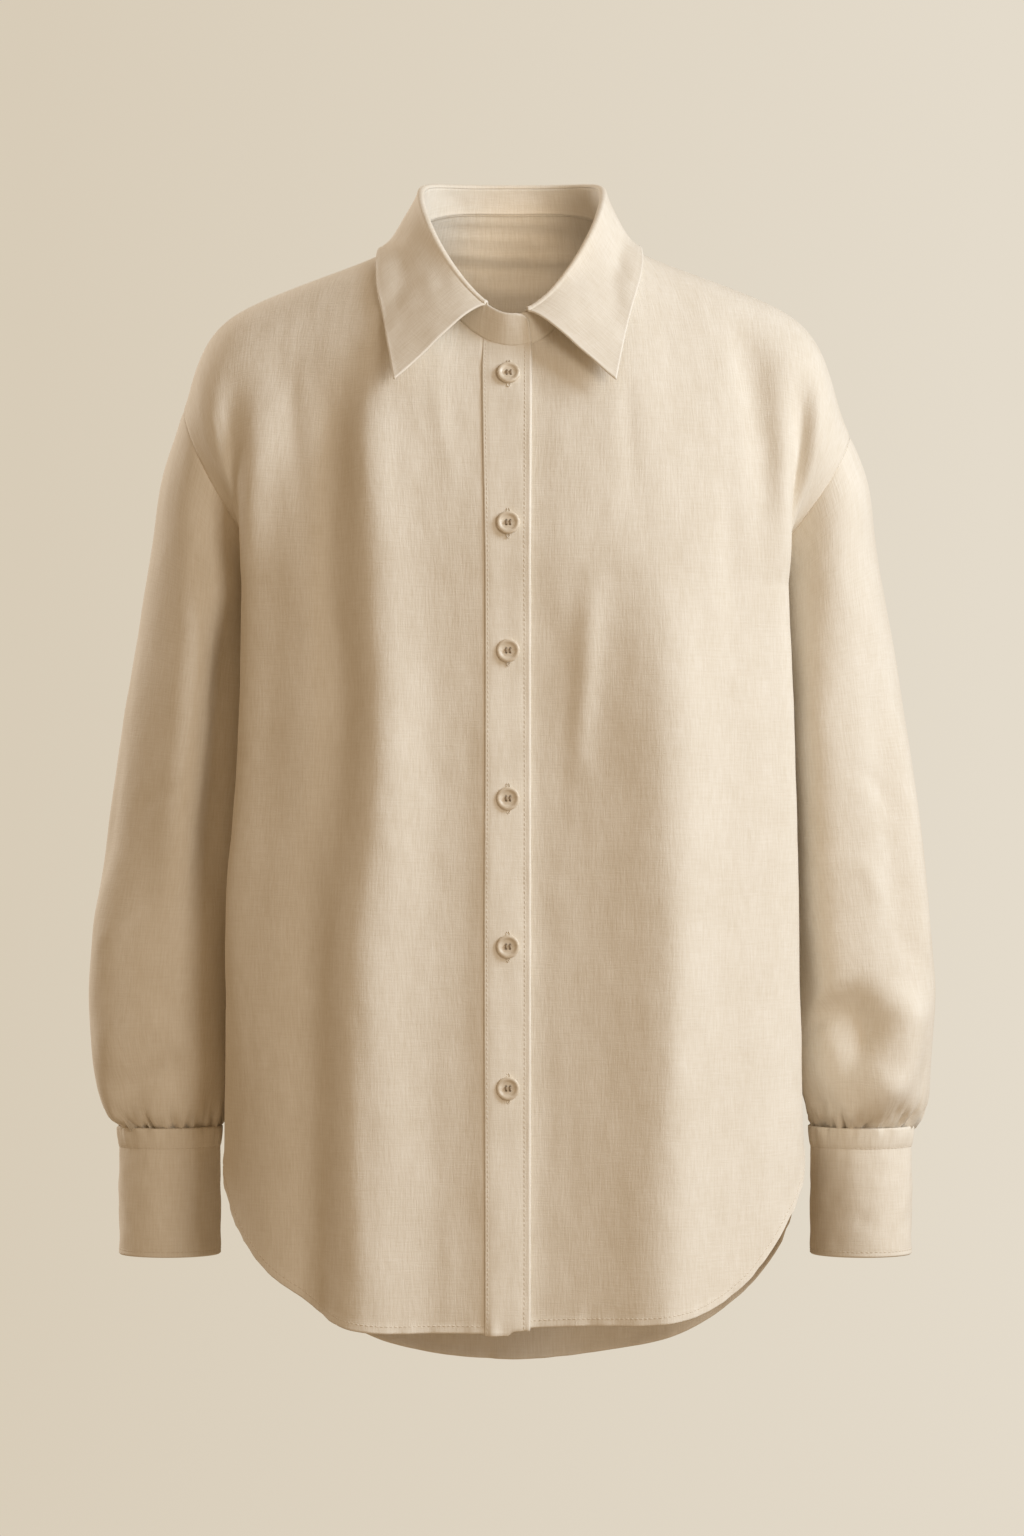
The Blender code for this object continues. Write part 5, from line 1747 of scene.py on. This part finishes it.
@dataclass
class Collar:
    """The stand round the neck and the leaf turned down over it."""

    form: BodyForm
    body: BodyPieces
    stand_wall: float = 0.0016
    leaf_wall: float = 0.0015
    stand_rows: int = 14
    leaf_step: float = 0.0028
    crest_rows: int = 10
    fall_rows: int = 34
    corner_length: float = 0.010
    corner_drop: float = 0.008
    roll: float = 0.0019
    clearance: float = 0.0030
    edge_bow: float = 0.58
    crest_lift: float = 0.0009
    leaf_ends: dict = field(default_factory=lambda: {Side.RIGHT: -0.0170, Side.LEFT: 0.0100})
    edge_line: tuple = (
        # right_out, left_out, back, up, from centre back to the tip
        (0.0000, 0.0000, 0.078, 0.003),
        (0.0500, 0.0500, 0.069, 0.001),
        (0.0800, 0.0790, 0.038, 0.000),
        (0.0893, 0.0862, 0.000, -0.0035),
        (0.0905, 0.0855, -0.038, -0.0300),
        (0.0868, 0.0785, -0.072, -0.0600),
        (0.0800, 0.0705, -0.104, -0.0990),
    )

    def lay_stand(self) -> Laid:
        """Lays the stand from the panels' neck edges up to the roll.

        Returns:
            The cloth, columns from the left front's edge round the back to the placket's.
        """
        neck = self.form.neck_share * self.form.arc(Face.FRONT)
        behind = self.form.neck_share * self.form.arc(Face.BACK)
        left, back, right, strip = (self.body.front_left, self.body.back,
                                    self.body.front_right, self.body.placket)
        runs = (
            # cloth, its columns along the neck, half the neck there, share at its middle
            (left, np.nonzero(left.across[0] <= neck + 1e-9)[0][1:], neck, -1.0),
            (back, np.nonzero(np.abs(back.across[0]) < behind - 1e-9)[0][::-1], -behind, 0.0),
            (right, np.nonzero(right.across[0] >= -neck - 1e-9)[0], neck, 1.0),
            (strip, np.arange(1, strip.across.shape[1]), neck, 1.0),
        )
        seam = np.concatenate([cloth.points[-1, at] for cloth, at, _, _ in runs])
        share = np.concatenate([0.5 * cloth.across[0, at] / half + middle
                                for cloth, at, half, middle in runs])
        plain = self.form.neck_round(share, False)
        roll = self.form.neck_round(share, True) + (seam - plain) * [1.0, 1.0, 0.3]
        corner = ((share - share[-1]) / (0.5 * self.corner_length / neck) + 1).clip(0)
        roll[:, 2] -= self.corner_drop * (1 - np.sqrt(1 - corner.clip(0, 0.995) ** 2))
        up = unit(roll - plain)
        roll = roll + up * self.crest_lift * (1 - ease(corner))[:, None]
        t = np.linspace(0, 1, self.stand_rows + 1)[:, None, None]
        points = seam + (roll - seam) * t
        facing = normals(points)
        centre = points.mean(axis=(0, 1)) * LEVEL
        if ((points - centre) * LEVEL * facing).sum() < 0:
            facing = -facing
        distance = along(seam)
        height = np.linalg.norm(roll - seam, axis=1)[None, :] * t[..., 0]
        laid = Laid(points, facing, distance, height, height, FAR)
        fade = ease(t[..., 0] / 0.3) * ease((1 - t[..., 0]) / 0.3)
        laid.raise_by(Crumple(53, depth=0.00015).height(laid.across, height) * fade
                      + seam_puff(height, 0.0003) * (1 - ease((np.abs(share) - 0.70) / 0.10)))
        return laid

    def _share_at(self, out: float) -> float:
        """Share of half the roll, near the front, that lies this far from the middle."""
        dense = np.linspace(0.72, 1.0, 300)
        return float(np.interp(-out, -self.form.neck_point(dense, True)[:, 0], dense))

    def lay_leaf(self) -> Laid:
        """Lays the leaf over the roll and down to its edge, tip to tip round the back.

        Returns:
            The cloth, rows from the stand's top to the leaf's edge.
        """
        ends = {side: self._share_at(abs(out)) for side, out in self.leaf_ends.items()}
        rough = np.linspace(-ends[Side.LEFT], ends[Side.RIGHT], 400)
        distance = along(self.form.neck_round(rough, True))
        even = spaced(distance[-1], self.leaf_step, EDGE_STEPS, EDGE_STEPS)
        shares = np.interp(even, distance, rough)
        roll = self.form.neck_round(shares, True)
        up = unit(roll - self.form.neck_round(shares, False))
        out = unit(np.cross(up, np.gradient(roll, even, axis=0)))
        out *= np.sign((out * roll * LEVEL).sum(axis=1, keepdims=True))
        table = np.array(self.edge_line)
        whole = np.concatenate([(table[1:3] * [-1.0, -1.0, 1.0, 1.0])[::-1], table])
        knots = (np.arange(len(whole)) - 2) / (len(table) - 1)
        reach = np.where(shares > 0, shares / ends[Side.RIGHT], -shares / ends[Side.LEFT])
        right_out, left_out, back, height = spline(knots, whole, reach).T
        edge = np.stack([np.where(shares > 0, -right_out, left_out), back, height], axis=-1)
        start = roll + up * self.crest_lift
        turn = np.linspace(0, math.pi, self.crest_rows + 1)[:, None, None]
        crest = start + self.roll * (out * (1 - np.cos(turn)) + up * np.sin(turn))
        over = crest[-1]
        fall = edge - over
        length = np.linalg.norm(fall, axis=1, keepdims=True)
        to_tip = ease((reach - 0.72) / 0.28)[:, None]
        level = unit(unit(fall) + [0.0, 0.0, self.edge_bow])
        leave = unit(-up * (1 - to_tip) + level * to_tip) * length * 0.45
        rows = spaced(1.0, 1 / self.fall_rows, (), (0.012, 0.03, 0.055, 0.09))
        down = hermite(over, leave, edge, fall, rows[1:, None, None])
        down = self._clear_of_body(down, ease((rows[1:] - 0.42) / 0.25)[:, None, None])
        points = np.concatenate([crest, down])
        facing = normals(points)
        away = (points - [0.0, -0.01, 0.0]) * LEVEL
        if (away[-8:] * facing[-8:]).sum() < 0:
            facing = -facing
        steps = np.linalg.norm(np.diff(points, axis=0), axis=2)
        fallen = np.concatenate([np.zeros((1, len(even))), np.cumsum(steps, axis=0)])
        from_edge = fallen[-1] - fallen
        from_end = np.minimum(even - even[0], even[-1] - even)[None, :]
        free = np.minimum(from_edge, from_end)
        laid = Laid(points, facing, even, -fallen, fallen, free)
        ripple = Crumple(61, depth=0.00020, shortest=0.018, longest=0.070, upright=1.0)
        fade = ease((fallen - 0.008) / 0.020)
        laid.raise_by((ripple.height(laid.across, fallen) + 0.0003) * fade)
        return laid

    def _clear_of_body(self, points: Array, share: Array) -> Array:
        """Eases the leaf out where it would come too near to the panels.

        Args:
            points: The leaf's points.
            share: How much of the move each row makes, from 0 at the roll to 1.

        Returns:
            The moved points.
        """
        places = []
        outward = []
        for laid in (self.body.front_right, self.body.front_left, self.body.back):
            rows = np.nonzero(self.form.climb[1:] < 0.95)[0][::2] + len(self.form.rise)
            places.append(laid.points[rows, ::2].reshape(-1, 3))
            outward.append(laid.facing[rows, ::2].reshape(-1, 3))
        places = np.concatenate(places)
        outward = np.concatenate(outward)
        tree = KDTree(len(places))
        for number, place in enumerate(places):
            tree.insert(place, number)
        tree.balance()
        points = points.copy()
        for _ in range(6):
            move = np.zeros_like(points)
            for at in np.ndindex(points.shape[:2]):
                near = tree.find(points[at])[1]
                height = (points[at] - places[near]) @ outward[near]
                move[at] = outward[near] * max(self.clearance - height, 0.0)
            points += softened(move, 24) * share
        return points

    def build(self, wardrobe: Wardrobe) -> None:
        """Makes the stand and the leaf.

        Args:
            wardrobe: The finishes.
        """
        stand = self.lay_stand()
        from_end = stand.across[0, -1] - stand.across
        # Painted highlight along the stand's front end
        edge = np.exp(-from_end / 0.0014)
        walls = self.stand_wall / 2 * (1 + 0.40 * np.exp(-((from_end / 0.0013) ** 2)))
        shell = Shell("collar_stand_cloth", stand, walls, edge, (Edge.FIRST, Edge.LAST))
        piece = place_piece(shell.build(wardrobe.pressed), "linen", "collar_stand")
        leaf = self.lay_leaf()
        free = np.maximum(leaf.hem, 0)
        walls = self.leaf_wall / 2 * (1 + 0.25 * np.exp(-((free / 0.0014) ** 2)))
        # Painted highlight along the leaf's free edges
        shell = Shell("collar_leaf_cloth", leaf, walls, np.exp(-free / 0.0011) * 0.8,
                      (Edge.HIGH, Edge.FIRST, Edge.LAST))
        piece = place_piece(shell.build(wardrobe.pressed), "linen", "collar_leaf")
        min(leaf.area(), 0.99 * 0.56 * 0.085)


@dataclass
class Cuff:
    """A lapped band round the wrist, with its button."""

    side: Side
    set_out: float
    top: float = -0.616
    bottom: float = -0.705
    half_width: float = 0.0350
    half_depth: float = 0.0340
    flare: float = 0.0012
    out: float = 0.2415
    back: float = 0.030
    lap: float = math.radians(34)
    opening: float = math.radians(228)
    wall: float = 0.0018
    solid_wall: float = 0.0020
    seam_gap: float = 0.0003
    band: float = 0.0138
    rows_step: float = 0.0030
    columns: int = 150
    button_radius: float = 0.0060
    edge_stitch: float = 0.0030

    def point(self, turn: Array, height: Array) -> Array:
        """Point of the cuff's round, with the flare at its top.

        Args:
            turn: Angles round the wrist.
            height: Heights.

        Returns:
            The points, out, back and up.
        """
        depth = (self.top - height) / (self.top - self.bottom)
        flare = self.flare * (1 - ease(depth / 0.18))
        out = self.out + (self.half_width + flare) * np.cos(turn)
        back = self.back - (self.half_depth + flare) * np.sin(turn)
        return np.stack(np.broadcast_arrays(out, back, height), axis=-1)

    def outward(self, points: Array) -> Array:
        """The level way out of the band's round at each point."""
        return unit((points - [self.out, self.back, 0.0]) * LEVEL)

    def lay(self) -> Laid:
        """Lays the band once round and lapped.

        Returns:
            The cloth, rows from the bottom up.
        """
        start = self.opening
        turn = np.linspace(start, start + 2 * math.pi + self.lap, self.columns + 1)
        tall = self.top - self.bottom
        up = spaced(tall, self.rows_step, EDGE_STEPS, (*EDGE_STEPS, 0.0075, 0.0100, 0.0118,
                                                       0.0130, 0.0138, 0.0146, 0.0158, 0.0172))
        height = (self.bottom + up)[:, None]
        grid = self.point(turn[None, :], height)
        step = (self.solid_wall + 2 * self.seam_gap) / 2
        under = 1 - ease((turn - start - self.lap) / 0.9)
        over = ease((turn - start - 2 * math.pi + 0.9) / 0.9)
        facing = self.outward(grid)
        from_top = tall - up[:, None]
        across = (turn - start) * (self.half_width + self.half_depth) / 2
        across = np.broadcast_to(across, grid.shape[:2])
        bulge = 0.0003 * np.sin(np.clip(from_top / self.band, 0, 1) * math.pi) ** 0.8
        crease = -0.0005 * groove(from_top - self.band, 0.0011)
        crease = crease - 0.0004 * groove(from_top - self.band - 0.0026, 0.0009)
        waves = Crumple(71, depth=0.00016, shortest=0.012, longest=0.05, upright=1.0)
        pull = Crumple(73, depth=0.0004, shortest=0.005, longest=0.014, waves=16, upright=4.0)
        lift = bulge + crease + waves.height(across, height)
        lift = lift + pull.height(across, height) * np.exp(-from_top / 0.010)
        lift = lift * ease(up[:, None] / 0.006) + (over - under)[None, :] * step
        points = grid + facing * lift[..., None]
        points[..., 0] += self.set_out
        flip = self.side.flip
        ends = np.minimum(across - across[:, :1], across[:, -1:] - across)
        return Laid(points * flip, facing * flip, across, height, from_top,
                    np.minimum(up[:, None], ends))

    def build(self, wardrobe: Wardrobe) -> None:
        """Makes the band and its stitches.

        Args:
            wardrobe: The finishes.
        """
        laid = self.lay()
        free = np.maximum(laid.hem, 0)
        walls = self.wall / 2 * (1 - 0.22 * groove(free - self.edge_stitch))
        name = "cuff_" + self.side.value
        # Painted highlight along the cuff's free edges
        shell = Shell(name + "_cloth", laid, walls, np.exp(-free / 0.0012) * 0.6)
        piece = place_piece(shell.build(wardrobe.pressed), "linen", name)
        stitching = Stitching(name + "_stitches", radius=0.00019)
        columns = np.arange(laid.points.shape[1])
        rows = np.arange(laid.points.shape[0])
        for height in (self.bottom + self.edge_stitch, self.top - self.band + 0.0006):
            row = np.interp(height, laid.up[:, 0], rows)
            stitching.add(*surface_line(laid, walls, row, columns))
        for place in (self.edge_stitch, laid.across[0, -1] - self.edge_stitch):
            stitching.add_upright(laid, walls, place, rows[3:-3])
        stitches = place_piece(stitching.build(wardrobe.thread), "linen")

    def button_place(self) -> tuple[Array, Array]:
        """Where the button sits on the lap, and the way out there.

        Returns:
            The place and the direction.
        """
        turn = self.opening + self.lap / 2
        place = self.point(np.array(turn), np.array((self.top + self.bottom) / 2))
        facing = self.outward(place)
        place = place + facing * (self.solid_wall + 2 * self.seam_gap)
        flip = self.side.flip
        return (place + [self.set_out, 0.0, 0.0]) * flip, facing * flip


@dataclass
class Button:
    """A turned four-hole button with its thread."""

    name: str
    place: Array
    facing: Array
    radius: float
    steps: int = 56
    hole_spread: float = 0.17
    hole_radius: float = 0.10
    strand_radius: float = 0.034
    strand_spacing: float = 0.042
    thread_top: float = 0.245
    profile: tuple = (
        # out, up, as shares of the radius
        (0.00, 0.185), (0.30, 0.185), (0.52, 0.195), (0.60, 0.225), (0.68, 0.285),
        (0.76, 0.325), (0.84, 0.330), (0.91, 0.310), (0.965, 0.260), (0.99, 0.190),
        (0.985, 0.100), (0.94, 0.00), (0.00, 0.00),
    )

    def _disc(self) -> Mesh:
        """The turned disc with its holes cut through.

        Returns:
            The mesh, about its own middle.
        """
        shape = turned([(out * self.radius, up * self.radius) for out, up in self.profile],
                       self.steps)
        bmesh.ops.remove_doubles(shape, verts=shape.verts[:], dist=1e-6)
        bmesh.ops.recalc_face_normals(shape, faces=shape.faces[:])
        disc = mesh_of(self.name + "_disc", shape)
        holes = bmesh.new()
        narrow = self.radius * self.hole_radius
        spread = self.radius * self.hole_spread
        for x in (-1, 1):
            for y in (-1, 1):
                hole = bmesh.ops.create_cone(holes, cap_ends=True, segments=16, radius1=narrow,
                                             radius2=narrow, depth=self.radius * 2)
                bmesh.ops.translate(holes, verts=hole["verts"], vec=(x * spread, y * spread, 0))
        return self._cut(disc, mesh_of(self.name + "_holes", holes))

    @staticmethod
    def _cut(disc: Mesh, holes: Mesh) -> Mesh:
        """The disc less its holes, as a mesh of its own.

        Args:
            disc: The disc.
            holes: The holes, as cones through it.

        Returns:
            The mesh.
        """
        whole = add_object("button_blank", disc)
        cutter = add_object("button_cutter", holes)
        difference = whole.modifiers.new("holes", "BOOLEAN")
        difference.operation = "DIFFERENCE"
        difference.object = cutter
        graph = bpy.context.evaluated_depsgraph_get()
        made = bpy.data.meshes.new_from_object(whole.evaluated_get(graph))
        bpy.data.objects.remove(whole)
        bpy.data.objects.remove(cutter)
        return made

    def build(self, wardrobe: Wardrobe) -> None:
        """Makes the button and the thread through its holes.

        Args:
            wardrobe: The finishes.
        """
        mesh = self._disc()
        mesh.name = self.name + "_shell"
        mesh.set_sharp_from_angle(angle=math.radians(40))
        dress(mesh, wardrobe.shell)
        made = add_object(self.name + "_shell", mesh)
        made.matrix_world = matrix_facing(self.place, self.facing)
        place_piece(made, "button_shell", self.name)
        place_piece(self._thread(wardrobe.button_thread), "linen")

    def _thread(self, finish: Material) -> Object:
        """Two upright bars of thread, three strands each, down through the holes.

        Args:
            finish: The thread's material.

        Returns:
            The thread.
        """
        curve = bpy.data.curves.new(self.name + "_thread", "CURVE")
        curve.dimensions = "3D"
        curve.bevel_depth = self.radius * self.strand_radius
        curve.bevel_resolution = 2
        curve.resolution_u = 6
        spread = self.radius * self.hole_spread
        top = self.radius * self.thread_top
        for x in (-1, 1):
            for strand in (-1, 0, 1):
                line = curve.splines.new("BEZIER")
                line.bezier_points.add(3)
                aside = x * spread + strand * self.radius * self.strand_spacing
                lift = top + (0.02 if strand == 0 else 0.0) * self.radius
                path = ((aside, -spread, -0.0004), (aside, -spread * 0.75, lift),
                        (aside, spread * 0.75, lift), (aside, spread, -0.0004))
                for point, place in zip(line.bezier_points, path):
                    point.co = place
                    point.handle_left_type = point.handle_right_type = "AUTO"
        blank = add_object(self.name + "_thread_line", curve)
        graph = bpy.context.evaluated_depsgraph_get()
        mesh = bpy.data.meshes.new_from_object(blank.evaluated_get(graph))
        bpy.data.objects.remove(blank)
        dress(mesh, finish)
        made = add_object(self.name + "_thread", mesh)
        made.matrix_world = matrix_facing(self.place, self.facing)
        return made


@dataclass
class Buttons:
    """The six front buttons with their buttonholes, and a button on each cuff."""

    form: BodyForm
    body: BodyPieces
    heights: tuple = (-0.0955, -0.1975, -0.2860, -0.3845, -0.4830, -0.5800)
    line: float = -0.0033
    radius: float = 0.0080
    seat_gap: float = 0.0004
    hole_half_length: float = 0.0105
    hole_half_width: float = 0.0011

    def build(self, wardrobe: Wardrobe, cuffs: list[Cuff]) -> None:
        """Makes every button.

        Args:
            wardrobe: The finishes.
            cuffs: The cuffs that carry one each.
        """
        laid = self.body.placket
        column = int(np.abs(laid.across[0] - self.line).argmin())
        holes = Stitching("buttonhole_stitches", length=0.0016, gap=-0.0002, radius=0.00034)
        for number, height in enumerate(self.heights, 1):
            row = int(np.abs(laid.points[:, column, 2] - height).argmin())
            place, facing = laid.points[row, column], laid.facing[row, column]
            half_wall = self.body.folded_wall / 2
            seat = place + facing * (half_wall + self.seat_gap)
            Button(f"button_{number}", seat, facing, self.radius).build(wardrobe)
            self._buttonhole(holes, place + facing * half_wall, facing)
        place_piece(holes.build(wardrobe.thread), "linen")
        for cuff in cuffs:
            place, facing = cuff.button_place()
            name = "cuff_button_" + cuff.side.value
            Button(name, place, facing, cuff.button_radius).build(wardrobe)

    def _buttonhole(self, holes: Stitching, place: Array, facing: Array) -> None:
        """An upright slit's rim of close stitches, most of it under the button.

        Args:
            holes: The stitches that it is added to.
            place: Its middle, on the placket's face.
            facing: The way out there.
        """
        side, up = side_and_up(facing)
        turn = np.linspace(0, 2 * math.pi, 49)
        straight = self.hole_half_length - self.hole_half_width
        out = np.sin(turn) * self.hole_half_width
        rise = np.cos(turn) * self.hole_half_width + np.sign(np.cos(turn)) * straight
        path = place + out[:, None] * side + rise[:, None] * up + facing * 0.0001
        holes.add(path, np.broadcast_to(facing, path.shape))


@dataclass
class Studio:
    """The photograph's camera, a plain pale sweep and soft lights."""

    camera_back: float = 3.5
    camera_height: float = -0.3633
    lens: float = 117.19
    floor_height: float = -1.75
    floor_radius: float = 6.0
    wall_radius: float = 8.5
    wall_height: float = 9.0
    aim: tuple = (0.0, 0.0, -0.35)

    def build(self) -> None:
        """Makes the camera, the sweep, the lights and the fill."""
        self._camera()
        self._sweep()
        self._light("key", (2.95, -1.20, 1.35), (1.5, 1.7), 90.0, (0.83, 0.94, 1.04))
        self._light("second", (1.75, -3.15, 0.20), (1.2, 1.2), 32.0, (1.0, 0.92, 0.80))
        self._snoot()
        self._light("back", (-2.6, 2.2, 1.2), (1.8, 1.8), 80.0, (1.0, 0.97, 0.92))
        world = bpy.data.worlds.new("fill")
        world.use_nodes = True
        background = world.node_tree.nodes["Background"]
        background.inputs["Color"].default_value = (1.0, 0.71, 0.43, 1.0)
        background.inputs["Strength"].default_value = 0.350
        bpy.context.scene.world = world
        bpy.context.scene.view_settings.view_transform = "Standard"

    def _camera(self) -> None:
        """A level camera in front of the shirt."""
        data = bpy.data.cameras.new("camera")
        data.lens = self.lens
        data.sensor_width = 36.0
        camera = add_object("camera", data)
        camera.location = (0.0, -self.camera_back, self.camera_height)
        camera.rotation_euler = (math.radians(90), 0.0, 0.0)
        bpy.context.scene.camera = camera

    def _sweep(self) -> None:
        """A floor that curves up into a wall all round, seen by the camera alone."""
        bend = self.wall_radius - self.floor_radius
        turn = np.linspace(0, math.pi / 2, 13)
        profile = [(0.0, self.floor_height)]
        profile += [(self.floor_radius + bend * math.sin(a),
                     self.floor_height + bend * (1 - math.cos(a))) for a in turn]
        profile.append((self.wall_radius, self.wall_height))
        mesh = mesh_of("floor_and_backdrop", turned(profile, 96))
        mesh.materials.append(BackdropFinish().make())
        sweep = add_object("floor_and_backdrop", mesh)
        for ray in ("diffuse", "glossy", "transmission", "shadow"):
            setattr(sweep, "visible_" + ray, False)

    @staticmethod
    def _snoot() -> None:
        """A narrow lamp through the neck hole, onto the inside of the back."""
        data = bpy.data.lights.new("snoot", "SPOT")
        data.energy = 132.0
        data.color = (1.0, 0.82, 0.62)
        data.spot_size = math.radians(1.8)
        data.spot_blend = 0.6
        data.shadow_soft_size = 0.02
        place, target = np.array([0.05, -3.2, 0.35]), np.array([0.0, 0.05, 0.002])
        add_object("snoot", data).matrix_world = matrix_facing(place, unit(place - target))

    def _light(self, name: str, place: tuple, size: tuple, power: float, colour: tuple) -> None:
        """A soft box that looks at the middle of the shirt.

        Args:
            name: The light's name.
            place: Where it stands.
            size: Its width and height.
            power: Watts.
            colour: Its colour.
        """
        data = bpy.data.lights.new(name, "AREA")
        data.shape = "RECTANGLE"
        data.size, data.size_y = size
        data.energy = power
        data.color = colour
        light = add_object(name, data)
        light.matrix_world = matrix_facing(place, unit(np.subtract(place, self.aim)))
        light.visible_camera = False


def main() -> None:
    """Dresses the shirt piece by piece, in the order in which it is sewn."""
    logging.basicConfig(level=logging.INFO, format="%(name)s %(message)s")
    Studio().build()
    wardrobe = Wardrobe.make()
    form = BodyForm()
    body = BodyPieces(form)
    collar = Collar(form, body)
    collar.build(wardrobe)
    body.build(wardrobe)
    sleeves = [Sleeve(form, Side.RIGHT, seed=41), Sleeve(form, Side.LEFT, seed=47)]
    for sleeve in sleeves:
        sleeve.build(wardrobe)
    cuffs = [Cuff(sleeve.side, sleeve.cuff_set_out[sleeve.side]) for sleeve in sleeves]
    for cuff in cuffs:
        cuff.build(wardrobe)
    Buttons(form, body).build(wardrobe, cuffs)


if __name__ == "__main__":
    main()
